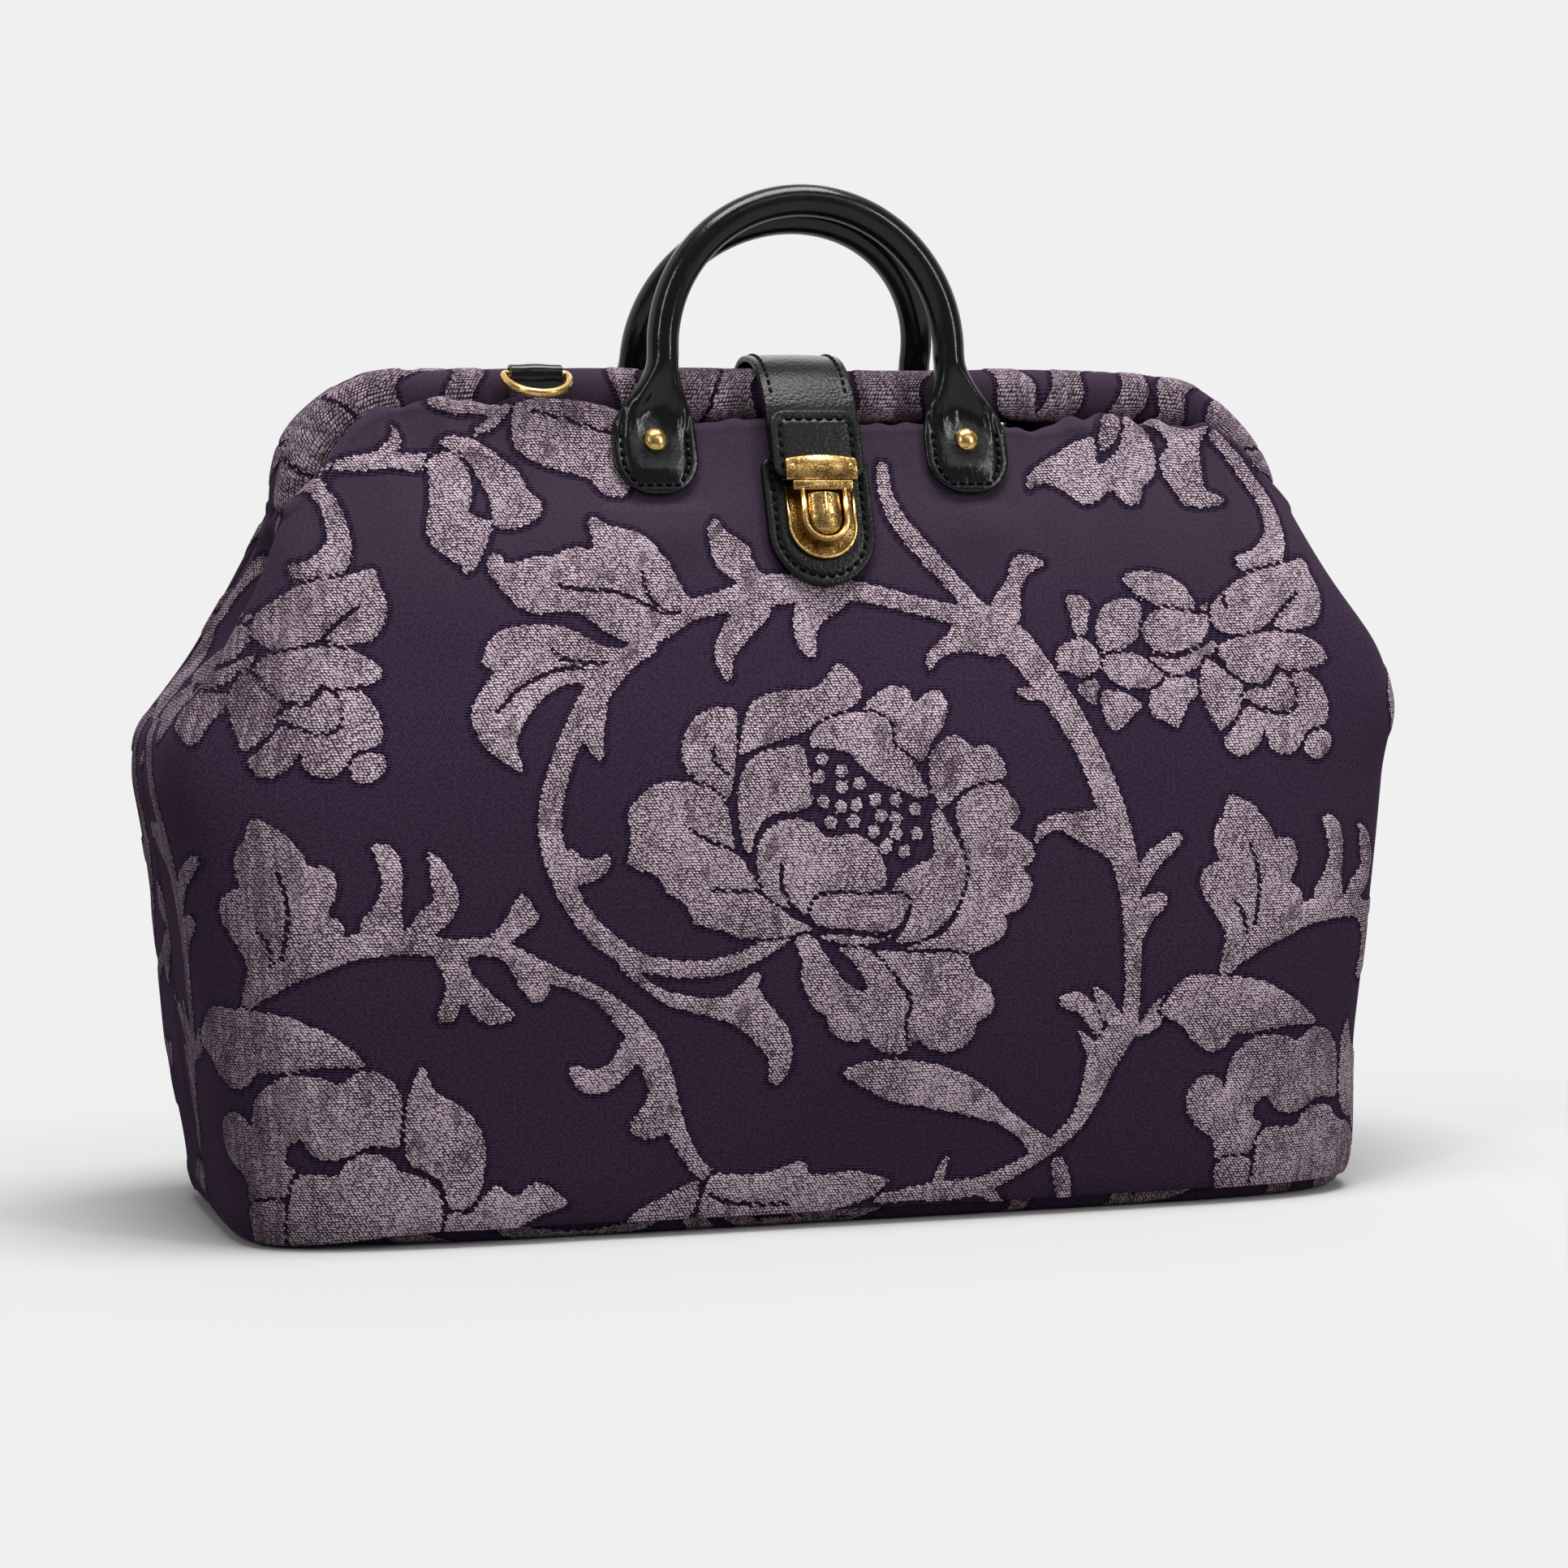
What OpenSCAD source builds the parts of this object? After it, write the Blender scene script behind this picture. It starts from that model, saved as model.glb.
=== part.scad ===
// Carpet bag: a soft cloth bag on a hinged metal frame, with rolled leather handles and a press lock.
// Millimetres, +Z up, front towards -Y. The origin is on the floor under the middle of the base.

/* [Body] */
// Width of the base
base_w = 400; // [384:1:408]
// Depth of the base, front to back
base_d = 150; // [138:1:162]
// Width at the belly, the widest level
belly_w = 440; // [430:1:456]
// Depth at the belly, front to back
belly_d = 124; // [116:1:134]
// Height of the belly above the floor
belly_z = 168; // [158:1:176]
// Depth at the folded ridge of the two yokes
ridge_d = 45; // [43:0.5:50]
// Thickness of the body cloth with its backing
cloth_t = 3; // [2.4:0.1:3.4]
// Depth of the inward tuck at each end
tuck = 14; // [8:1:18]
// Thickness of the covered base slab
base_t = 9; // [7:0.5:11]
// Thickness of the stiffening board on the base
board_t = 2.5; // [1.5:0.1:3.5]
// Thickness of the lining
lining_t = 0.8; // [0.6:0.1:1.2]

/* [Frame] */
// Height of the bow hinge above the floor
hinge_z = 238; // [234:1:244]
// Width between the legs of a bow, centre to centre
frame_w = 348; // [342:1:356]
// Height of the bow above its hinge, to the rod centre
bow_h = 42; // [40:1:48]
// Bend radius of the bow corners, to the rod centre
bow_r = 34; // [28:1:35]
// Diameter of the bow rod
rod_d = 5; // [4:0.1:6]
// Height of the padded band round the bow
casing_h = 18; // [16:0.5:20]
// Thickness of the padded band round the bow
casing_t = 12; // [10:0.5:13]
// Diameter of the hinge pin
pin_d = 4; // [3:0.1:5]
// Thickness of each hinge lug
lug_t = 2.8; // [2:0.1:4]

/* [Handles] */
// Half the distance between the two ends of a handle
handle_half = 56; // [52:0.5:60]
// Radius of the handle arch, to the roll centre
arch_r = 51.5; // [48:0.5:55]
// Diameter of the rolled handle
handle_d = 11; // [9:0.5:12]
// Height of the handle above its bend line, to the roll centre
handle_h = 77; // [73:1:84]
// Backward lean of the front handle
front_lean = 5; // [3:0.5:8]
// Forward lean of the back handle
back_lean = 22.5; // [16:0.5:24]
// Width of a handle tab
tab_w = 30; // [26:0.5:33]
// Length of a sewn-down handle tab
tab_l = 25.5; // [22:0.5:28]
// Thickness of a handle tab
tab_t = 2.6; // [2:0.1:3]
// Diameter of a rivet head
rivet_d = 8.4; // [7:0.1:10]

/* [Closure] */
// Width of the closing strap
strap_w = 33; // [30:0.5:36]
// Thickness of the closing strap
strap_t = 2.4; // [2:0.1:2.8]
// Width of the leather patch under the lock
patch_w = 38; // [36:0.5:42]
// Length of the leather patch under the lock
patch_l = 46; // [44:0.5:50]
// Thickness of the leather patches
patch_t = 2.4; // [1.8:0.1:2.6]
// Width of the lock base plate
lock_w = 24.6; // [23:0.1:27]
// Length of the lock base plate
lock_l = 26.5; // [25:0.1:29]
// Height of the lock surround above its base plate
lock_h = 5.6; // [5.2:0.1:6.4]
// Width of the press button
button_w = 12; // [10:0.1:13]
// Travel of the press button
button_travel = 1.8; // [1.2:0.1:2]

/* [Rings] */
// Inside width of a D ring
ring_in = 19; // [17:0.5:22]
// Wire diameter of a D ring
ring_wire = 3; // [2.4:0.1:3.4]
// Distance of each ring from the middle of the bag
ring_x = 95; // [86:1:104]
// Height of the front ring's bar above the ridge of the yoke
ring_up = 16.2; // [15:0.2:18]
// Angle of a hanging ring below level
ring_hang = 27; // [20:1:40]

/* [Clearances] */
// Gap between soft pieces that lie against each other
soft_gap = 0.4; // [0.3:0.05:0.6]
// Gap across the belly fold, where a yoke leans on the lower wall
fold_gap = 1.7; // [1.4:0.1:2]
// Radial gap of a pin in its hole
pin_gap = 0.05; // [0.03:0.01:0.1]
// Gap between a tab and the handle's bend line
bend_gap = 0.7; // [0.5:0.1:1]

/* [Output] */
// Sub-part to build

/* [Hidden] */
$fn = 64;

frame_x = frame_w / 2;
bow_z = hinge_z + bow_h;
bow_y = casing_t / 2 + soft_gap;
casing_y = casing_t + soft_gap;
ridge_z = bow_z - casing_h / 2;
corner_x = frame_x - bow_r;
corner_in = bow_r - casing_h / 2;
hem_z = 4;
hem_r = 14;
belly_a = belly_w / 2;
belly_b = belly_d / 2;
ridge_b = ridge_d / 2;
rise = ridge_z - belly_z;
yoke_tilt = atan((belly_b - ridge_b) / rise);
ridge_a = belly_a - (belly_a - frame_x - casing_h / 2) * rise / (hinge_z - belly_z);
board_z = base_t + 0.1;
board_top = board_z + board_t;
gusset_top = hinge_z - 8;
tail_y = -(casing_y + soft_gap);
yoke_s = 0.8;
flat_s = 0.7;
flat_w = 0.9;

// Plan of the wall at height z: half width, half depth and squareness
function mix(p, q, t) = p + (q - p) * t;
function smooth(t) = let (c = max(0, min(1, t))) c * c * (3 - 2 * c);
function hem(z) = z >= hem_r ? 0 : hem_r * 0.5 * (1 - sqrt(1 - pow((hem_r - z) / hem_r, 2)));
function wall_a(z) = z <= belly_z
    ? mix(base_w / 2, belly_a, pow(z / belly_z, 1.3)) - hem(z)
    : mix(belly_a, ridge_a, (z - belly_z) / rise);
function wall_b(z) = z <= belly_z
    ? mix(base_d / 2, belly_b, pow(z / belly_z, 2.4)) + 4 * sin(180 * z / belly_z) - hem(z)
    : mix(belly_b, ridge_b, (z - belly_z) / rise);
function wall_n(z) = z <= belly_z ? mix(6, 5, z / belly_z) : mix(5, 8, (z - belly_z) / rise);
function tuck_at(z) = tuck * smooth((z - belly_z) / (hinge_z - belly_z) * 1.8);

// One point of the front half of a plan, from the left seam (s = -1) to the right seam (s = 1)
function side_q(s, n) = pow(1 - pow(flat_w, n), 1 / n) * (1 - (abs(s) - flat_s) / (1 - flat_s));
function plan(s, a, b, n) = abs(s) <= flat_s
    ? [a * flat_w * s / flat_s, -b * pow(1 - pow(flat_w * abs(s) / flat_s, n), 1 / n)]
    : let (q = side_q(s, n)) [sign(s) * a * pow(1 - pow(q, n), 1 / n), -b * q];
function wall(s, z, inset = 0) =
    let (p = plan(s, wall_a(z) - inset, wall_b(z) - inset, wall_n(z))) [p[0], p[1], z];
function ring(z, inset, count = 24) = [
    for (k = [0 : 2 * count - 1])
        let (s = -1 + 2 * k / count)
        s <= 1 ? plan(s, wall_a(z) - inset, wall_b(z) - inset, wall_n(z))
               : let (p = plan(2 - s, wall_a(z) - inset, wall_b(z) - inset, wall_n(z))) [p[0], -p[1]]
];

// Closed sheet from a grid of outside points: rows go up, columns go to the right seen from outside
function grid_normal(g, i, j, wrap) =
    let (
        rows = len(g),
        cols = len(g[0]),
        left = wrap ? (j + cols - 1) % cols : max(0, j - 1),
        right = wrap ? (j + 1) % cols : min(cols - 1, j + 1),
        across = g[i][right] - g[i][left],
        up = g[min(rows - 1, i + 1)][j] - g[max(0, i - 1)][j],
        c = cross(across, up)
    ) c / norm(c);
module sheet(g, t, wrap = false) {
    rows = len(g);
    cols = len(g[0]);
    last = wrap ? cols - 1 : cols - 2;
    outer = [for (i = [0 : rows - 1]) for (j = [0 : cols - 1]) g[i][j]];
    inner = [for (i = [0 : rows - 1]) for (j = [0 : cols - 1]) g[i][j] - t * grid_normal(g, i, j, wrap)];
    back = rows * cols;
    skin = [
        for (i = [0 : rows - 2]) for (j = [0 : last])
            let (k = (j + 1) % cols, a = i * cols + j, b = a + cols, c = (i + 1) * cols + k, d = i * cols + k)
            each [[a, b, c], [a, c, d], [back + a, back + c, back + b], [back + a, back + d, back + c]]
    ];
    rims = [
        for (j = [0 : last])
            let (k = (j + 1) % cols, a = j, b = k, c = (rows - 1) * cols + j, d = (rows - 1) * cols + k)
            each [[a, b, back + b], [a, back + b, back + a], [d, c, back + c], [d, back + c, back + d]]
    ];
    ends = wrap ? [] : [
        for (i = [0 : rows - 2])
            let (a = i * cols, b = a + cols, c = a + cols - 1, d = b + cols - 1)
            each [[b, a, back + a], [b, back + a, back + b], [c, d, back + d], [c, back + d, back + c]]
    ];
    polyhedron(concat(outer, inner), concat(skin, rims, ends), convexity = 6);
}

// Closed solid through a stack of plan outlines
module stack(outlines, levels) {
    count = len(outlines[0]);
    rows = len(levels);
    pts = [for (i = [0 : rows - 1]) for (p = outlines[i]) [p[0], p[1], levels[i]]];
    walls = [
        for (i = [0 : rows - 2]) for (j = [0 : count - 1])
            let (k = (j + 1) % count, a = i * count + j, b = a + count,
                c = (i + 1) * count + k, d = i * count + k)
            each [[a, b, c], [a, c, d]]
    ];
    bottom = [[for (j = [0 : count - 1]) j]];
    top = [[for (j = [0 : count - 1]) (rows - 1) * count + count - 1 - j]];
    polyhedron(pts, concat(walls, bottom, top), convexity = 4);
}

// A flat section in the Y-Z plane, drawn as (y, z), with a width along X
module across(width) {
    rotate([90, 0, 90]) linear_extrude(width, center = true) children();
}
// A place on the front yoke: X across, Y up the slope, Z outwards
module on_yoke(x, z) {
    translate([x, -wall_b(z), z]) rotate([90 - yoke_tilt, 0, 0]) children();
}
// Both sides alike: the back is the front reflected
module at_back() {
    mirror([0, 1, 0]) children();
}

// Base
base_in = cloth_t + 0.2;
module base_panel() {
    levels = [0, 0.8, 2.4, 4.5, base_t];
    insets = [4.5, 2.2, 0.6, 0, 0];
    color("#3b2436")
    stack([for (i = [0 : 4]) ring(hem_z, base_in + insets[i])], levels);
}
module base_board() {
    color("#8a7350")
    stack([ring(hem_z, base_in + 1), ring(hem_z, base_in + 1)], [board_z, board_top]);
}

// Lower walls and lining
wall_levels = [hem_z, 6.5, 10, 15, 45, 85, 125, 150];
wall_steps = 40;
module lower_wall() {
    top = belly_z - fold_gap / 2;
    levels = concat([for (z = wall_levels) if (z < top - 8) z], [top]);
    edge = 1 - 0.004;
    sheet([
        for (z = levels) [for (k = [0 : wall_steps]) wall(edge * (2 * k / wall_steps - 1), z)]
    ], cloth_t);
}
module front_panel() {
    color("#5b3c56") lower_wall();
}
module back_panel() {
    color("#5b3c56") at_back() lower_wall();
}
module lining() {
    inset = cloth_t + 5 * soft_gap;
    bottom = board_top + 0.2;
    top = belly_z - 4;
    levels = [for (k = [0 : 6]) mix(bottom, top, k / 6)];
    color("#2b2430")
    sheet([for (z = levels) [for (p = ring(z, inset)) [p[0], p[1], z]]], lining_t, true);
}

// Tucked end walls
gusset_steps = 14;
gusset_s = yoke_s + 0.014;
function gusset_point(u, z) =
    let (
        n = wall_n(z),
        q = side_q(gusset_s, n) * abs(u),
        x = wall_a(z) * pow(1 - pow(q, n), 1 / n) - tuck_at(z) * pow(1 - u * u, 1.5)
    ) [x, wall_b(z) * side_q(gusset_s, n) * u, z];
module gusset() {
    bottom = belly_z + 0.3;
    levels = [for (k = [0 : 6]) mix(bottom, gusset_top, k / 6)];
    sheet([
        for (z = levels) [for (k = [0 : gusset_steps]) gusset_point(2 * k / gusset_steps - 1, z)]
    ], cloth_t * 0.7);
}
module right_gusset() {
    color("#4a3046") gusset();
}
module left_gusset() {
    color("#4a3046") mirror([1, 0, 0]) gusset();
}

// Upper walls: each rises from the belly fold to a ridge that is turned in against the casing
yoke_steps = 36;
yoke_rows = 5;
function ridge_line(x) =
    let (d = max(0, abs(x) - corner_x), lim = corner_in * 0.94)
    bow_z - bow_r + (d < lim ? sqrt(pow(corner_in, 2) - d * d)
                             : sqrt(pow(corner_in, 2) - lim * lim) - (d - lim) * 1.1);
function yoke_column(s) =
    let (
        low = belly_z + fold_gap / 2,
        fold = 4.2,
        guess = ridge_line(wall(s, ridge_z)[0]),
        high = ridge_line(wall(s, guess)[0]) - fold,
        tip = wall(s, high),
        half = (tail_y - tip[1]) / 2
    ) concat(
        [for (k = [0 : yoke_rows]) wall(s, mix(low, high, k / yoke_rows))],
        [for (f = [30 : 30 : 180]) [tip[0], tip[1] + half * (1 - cos(f)), high + fold * sin(f)]],
        [[tip[0], tail_y, high - 5]]
    );
module yoke() {
    columns = [for (k = [0 : yoke_steps]) yoke_column(yoke_s * (2 * k / yoke_steps - 1))];
    rows = len(columns[0]);
    sheet([for (i = [0 : rows - 1]) [for (k = [0 : yoke_steps]) columns[k][i]]], cloth_t);
}
module front_yoke() {
    color("#6b4a66") yoke();
}
module back_yoke() {
    color("#6b4a66") at_back() yoke();
}

// Frame bows: a section drawn as (outwards, depth) is carried round the U from foot to foot
module bow_sweep(foot) {
    leg = bow_z - bow_r - foot;
    for (m = [0, 1]) mirror([m, 0, 0]) {
        translate([frame_x, -bow_y, foot]) linear_extrude(leg) children();
        translate([corner_x, -bow_y, bow_z - bow_r]) rotate([90, 0, 0])
            rotate_extrude(angle = 90) translate([bow_r, 0]) children();
    }
    translate([0, -bow_y, bow_z]) rotate([0, -90, 0]) linear_extrude(2 * corner_x, center = true) children();
}
lug_r = pin_d / 2 + 2.4;
arm_top = 5.5;
casing_foot = 6.2;
module bow(lug_side) {
    difference() {
        union() {
            bow_sweep(hinge_z + 4) circle(d = rod_d);
            for (m = [-1, 1])
                translate([m * (frame_x + lug_side * (lug_t / 2 + 0.1)), 0, hinge_z])
                    across(lug_t) {
                        circle(r = lug_r);
                        polygon([
                            [-bow_y - rod_d / 2, arm_top], [-bow_y + rod_d / 2, arm_top],
                            [lug_r * 0.9, lug_r * 0.4], [-lug_r * 0.9, -lug_r * 0.4]
                        ]);
                    }
        }
        for (m = [-1, 1])
            translate([m * frame_x, 0, hinge_z]) rotate([0, 90, 0])
                cylinder(r = pin_d / 2 + pin_gap, h = 6 * lug_t, center = true);
    }
}
module front_frame() {
    color("#9a9a9a") bow(-1);
}
module back_frame() {
    color("#9a9a9a") at_back() bow(1);
}
module hinge_pins() {
    reach = lug_t + 0.3;
    color("#b08d4a")
    for (m = [-1, 1]) translate([m * frame_x, 0, hinge_z]) rotate([0, 90, 0]) {
        cylinder(d = pin_d, h = 2 * reach, center = true);
        for (e = [-1, 1]) translate([0, 0, e * (reach + 0.6)]) cylinder(d = pin_d * 1.7, h = 1.2, center = true);
    }
}
module casing() {
    round = casing_t / 2;
    difference() {
        union() {
            bow_sweep(hinge_z + casing_foot) {
                square([casing_h - casing_t, casing_t], center = true);
                for (e = [-1, 1]) translate([e * (casing_h / 2 - round), 0]) circle(r = round);
            }
            translate([-corner_x + 2, -casing_y, ridge_z - 7]) cube([2 * corner_x - 4, cloth_t, 13]);
        }
        bow_sweep(hinge_z - 1) circle(d = rod_d + 0.6);
    }
}
module front_casing() {
    color("#4e3350") casing();
}
module back_casing() {
    color("#4e3350") at_back() casing();
}

// Handles: each bends along a line at the top of its two sewn tabs
bend_z = ridge_z - 1;
axis_n = soft_gap + tab_t / 2;
bend_y = -wall_b(bend_z) - axis_n * cos(yoke_tilt);
bend_h = bend_z + axis_n * sin(yoke_tilt);
neck_h = 15;
flare_w = tab_w / 2 - 2;
rivet_w = -6.5;
module tab_shape() {
    r = tab_w * 0.36;
    top = -tab_t / 2 - bend_gap;
    difference() {
        union() {
            translate([-tab_w / 2, -tab_l + r]) square([tab_w, tab_l - r + top]);
            translate([-tab_w / 2 + r, -tab_l]) square([tab_w - 2 * r, tab_l]);
            for (e = [-1, 1]) translate([e * (tab_w / 2 - r), -tab_l + r]) circle(r = r);
        }
        translate([-tab_w, top]) square([2 * tab_w, tab_l]);
        translate([0, rivet_w]) circle(d = rivet_d * 0.42);
    }
}
module tab(x) {
    color("#1c1a1b")
    on_yoke(x, bend_z) translate([0, 0, soft_gap]) linear_extrude(tab_t) tab_shape();
}
module rivet() {
    head = rivet_d / 2;
    post = rivet_d * 0.19;
    face = soft_gap + tab_t + 0.05;
    inside = cloth_t + 0.3 + 0.8 + 0.05;
    rotate_extrude() {
        difference() {
            translate([0, face - head * 0.5]) circle(r = head * 1.12);
            translate([-2 * head, -3 * head]) square([2 * head, 6 * head]);
            translate([-head, face - 4 * head]) square([4 * head, 4 * head]);
        }
        translate([0, -inside]) square([post, face + inside + 0.2]);
        translate([0, -inside - 0.8]) square([post + 1, 0.8]);
    }
}
module rivet_pair() {
    color("#b08d4a")
    for (e = [-1, 1]) on_yoke(e * handle_half, bend_z) translate([0, rivet_w, 0]) rivet();
}
module washer_pair() {
    color("#b08d4a")
    for (e = [-1, 1]) on_yoke(e * handle_half, bend_z)
        translate([0, rivet_w, -cloth_t - 1.1]) difference() {
            cylinder(d = rivet_d, h = 0.8);
            translate([0, 0, -1]) cylinder(d = rivet_d * 0.42, h = 3);
        }
}
function flare_ring(t) =
    let (
        r = handle_d * 0.49,
        hw = mix(flare_w, r, smooth(t)),
        ht = mix(tab_t * 0.44, r, smooth(t)),
        m = mix(3, 2, t)
    )
    [for (k = [0 : 23])
        let (c = cos(15 * k), s = sin(15 * k))
        [hw * sign(c) * pow(abs(c), 2 / m), ht * sign(s) * pow(abs(s), 2 / m)]];
module handle(lean) {
    arch = arch_r;
    steps = 7;
    splay = (handle_half - arch) / (handle_h - arch);
    levels = concat([for (k = [0 : steps]) neck_h * k / steps], [handle_h - arch + 0.5]);
    translate([0, bend_y, bend_h]) rotate([-lean, 0, 0]) {
        for (e = [-1, 1]) translate([e * handle_half, 0, 0]) {
            stack([
                for (z = levels) [for (p = flare_ring(min(1, z / neck_h))) [p[0] - e * splay * z, p[1]]]
            ], levels);
            rotate([0, 90, 0]) cylinder(d = tab_t, h = 2 * flare_w - 1.5, center = true);
        }
        translate([0, 0, handle_h - arch]) rotate([90, 0, 0])
            rotate_extrude(angle = 180) translate([arch, 0]) circle(d = handle_d);
    }
}
module front_left_tab() {
    tab(-handle_half);
}
module front_right_tab() {
    tab(handle_half);
}
module back_left_tab() {
    at_back() tab(-handle_half);
}
module back_right_tab() {
    at_back() tab(handle_half);
}
module front_rivets() {
    rivet_pair();
}
module back_rivets() {
    at_back() rivet_pair();
}
module front_washers() {
    washer_pair();
}
module back_washers() {
    at_back() washer_pair();
}
module front_handle() {
    color("#1c1a1b") handle(front_lean);
}
module back_handle() {
    color("#1c1a1b") at_back() handle(back_lean);
}

// Lock, in the plane of the front yoke: Y is measured up the slope from the lower end of the patch
patch_z = ridge_z - 60 * cos(yoke_tilt);
plate_t = 1.1;
face_n = soft_gap + patch_t + 0.05;
lock_y = 9;
bar_y = lock_y + lock_l;
wall_y = lock_y + 4.4;
slot_y = bar_y - 3.4;
module bullet(width, low, high) {
    r = width / 2;
    translate([0, low + r]) circle(r = r);
    translate([-r, low + r]) square([width, high - low - r]);
}
module lock_patch() {
    c = 3;
    color("#1c1a1b")
    on_yoke(0, patch_z) translate([0, 0, soft_gap]) linear_extrude(patch_t) difference() {
        union() {
            bullet(patch_w, 0, patch_l - c);
            translate([-patch_w / 2 + c, patch_w / 2]) square([patch_w - 2 * c, patch_l - patch_w / 2]);
            for (e = [-1, 1]) translate([e * (patch_w / 2 - c), patch_l - c]) circle(r = c);
        }
        for (e = [-1, 1]) translate([e * prong_x - 1.9, prong_y - 0.8]) square([3.8, 1.6]);
    }
}
prong_x = lock_w / 2 - 4;
prong_y = lock_y + lock_l * 0.55;
surround_w = button_w + 5.2;
module lock_body() {
    color("#a88748")
    on_yoke(0, patch_z) {
        translate([0, 0, face_n]) linear_extrude(plate_t) bullet(lock_w, lock_y, bar_y);
        translate([0, 0, face_n]) linear_extrude(plate_t + lock_h) difference() {
            bullet(surround_w, wall_y, slot_y + 0.2);
            bullet(button_w + 1, wall_y + 2.1, bar_y + 2);
        }
        for (e = [-1, 1])
            translate([e * (surround_w / 2 + 0.6) - 1.6, slot_y, face_n])
                cube([3.2, 3.4, plate_t + lock_h]);
        translate([-surround_w / 2 - 2.2, slot_y, face_n + plate_t + 3.1])
            cube([surround_w + 4.4, 3.4, lock_h - 3.1]);
        for (e = [-1, 1])
            translate([e * prong_x - 1.8, prong_y - 0.7, -cloth_t - 1])
                cube([3.6, 1.4, cloth_t + 1 + face_n + 0.2]);
    }
}
button_n = face_n + plate_t + button_travel + 0.3;
button_top = face_n + plate_t + lock_h + 0.6;
module lock_button() {
    color("#b89550")
    on_yoke(0, patch_z) intersection() {
        translate([0, 0, button_n]) linear_extrude(button_top - button_n)
            bullet(button_w, wall_y + 2.6, slot_y - 0.4);
        translate([0, (wall_y + slot_y) / 2, button_top - 26]) rotate([90, 0, 0])
            cylinder(r = 26, h = lock_l * 2, center = true, $fn = 160);
    }
}
module lock_spring() {
    span = slot_y - wall_y - 9;
    low = face_n + plate_t + 0.05;
    high = button_n - 0.05;
    color("#9a9a9a")
    on_yoke(0, patch_z) translate([0, wall_y + 5.5, 0]) rotate([90, 0, 90])
        linear_extrude(4, center = true) polygon([
            [0, low], [span * 0.3, low], [span * 0.66, high - 0.4], [span, high - 0.4],
            [span, high], [span * 0.62, high], [span * 0.26, low + 0.4], [0, low + 0.4]
        ]);
}
module lock_backplate() {
    color("#b08d4a")
    on_yoke(0, patch_z) translate([0, 0, -cloth_t - 1]) difference() {
        translate([0, 0, 0.1]) linear_extrude(0.8) bullet(lock_w - 2, lock_y + 1, bar_y - 1);
        for (e = [-1, 1])
            translate([e * prong_x - 1.9, prong_y - 0.8, -1]) cube([3.8, 1.6, 4]);
    }
}

// Closing strap: from the anchor on the back yoke, over the two casings, down to the lock
strap_n = face_n + 0.3;
tilt_s = sin(yoke_tilt);
tilt_c = cos(yoke_tilt);
function on_slope(w, n) = [
    -wall_b(patch_z) + w * tilt_s - n * tilt_c,
    patch_z + w * tilt_c + n * tilt_s
];
anchor_n = soft_gap + patch_t / 2;
swing_z = ridge_z + 2;
swing_y = wall_b(ridge_z) + 3.6;
strap_end = bar_y + 1.4;
strap_mid = strap_n + strap_t / 2;
top_gap = 2.2 + strap_t / 2;
strap_line = [
    [swing_y, swing_z],
    [swing_y - 2.5, swing_z + 7],
    [casing_y + 1.5, bow_z + casing_h / 2 - 1.5],
    [casing_y * 0.45, bow_z + casing_h / 2 + top_gap],
    [-casing_y * 0.45, bow_z + casing_h / 2 + top_gap],
    [-casing_y - 3, bow_z + casing_h / 2 - 1.2],
    on_slope(66, strap_mid - 0.8),
    on_slope(58, strap_mid),
    on_slope(48, strap_mid),
    on_slope(strap_end, strap_mid)
];
function spline(p, i, t) =
    let (
        n = len(p),
        a = p[max(0, i - 1)],
        b = p[i],
        c = p[min(n - 1, i + 1)],
        d = p[min(n - 1, i + 2)]
    ) 0.5 * (2 * b + (c - a) * t + (2 * a - 5 * b + 4 * c - d) * t * t + (3 * b - a - 3 * c + d) * t * t * t);
function thread(p, per) = concat(
    [for (i = [0 : len(p) - 2]) for (k = [0 : per - 1]) spline(p, i, k / per)],
    [p[len(p) - 1]]
);
function side_of(c, i, d) =
    let (e = c[min(len(c) - 1, i + 1)] - c[max(0, i - 1)]) c[i] + d * [-e[1], e[0]] / norm(e);
module strip(line, t) {
    n = len(line);
    run = (line[1] - line[0]) / norm(line[1] - line[0]);
    side = [-run[1], run[0]];
    polygon(concat(
        [for (i = [0 : n - 1]) side_of(line, i, t / 2)],
        [for (i = [n - 1 : -1 : 0]) side_of(line, i, -t / 2)],
        [for (f = [30 : 30 : 150]) line[0] - t / 2 * (cos(f) * side + sin(f) * run)]
    ));
}
module closure_strap() {
    color("#1c1a1b") across(strap_w) strip(thread(strap_line, 5), strap_t);
}
facing_n = strap_n + strap_t + 0.15;
module strap_facing() {
    c = 5;
    top = 57;
    color("#1c1a1b")
    on_yoke(0, patch_z) translate([0, 0, facing_n]) linear_extrude(patch_t * 0.7) {
        translate([-strap_w / 2 + 0.5, strap_end]) square([strap_w - 1, top - c - strap_end]);
        translate([-strap_w / 2 + 0.5 + c, strap_end]) square([strap_w - 1 - 2 * c, top - strap_end]);
        for (e = [-1, 1]) translate([e * (strap_w / 2 - 0.5 - c), top - c]) circle(r = c);
    }
}
clasp_n = facing_n + patch_t * 0.7 + 0.05;
clasp_w = lock_w + 1;
clasp_y = bar_y + 0.3;
tongue_n = face_n + plate_t + 0.9;
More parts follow.
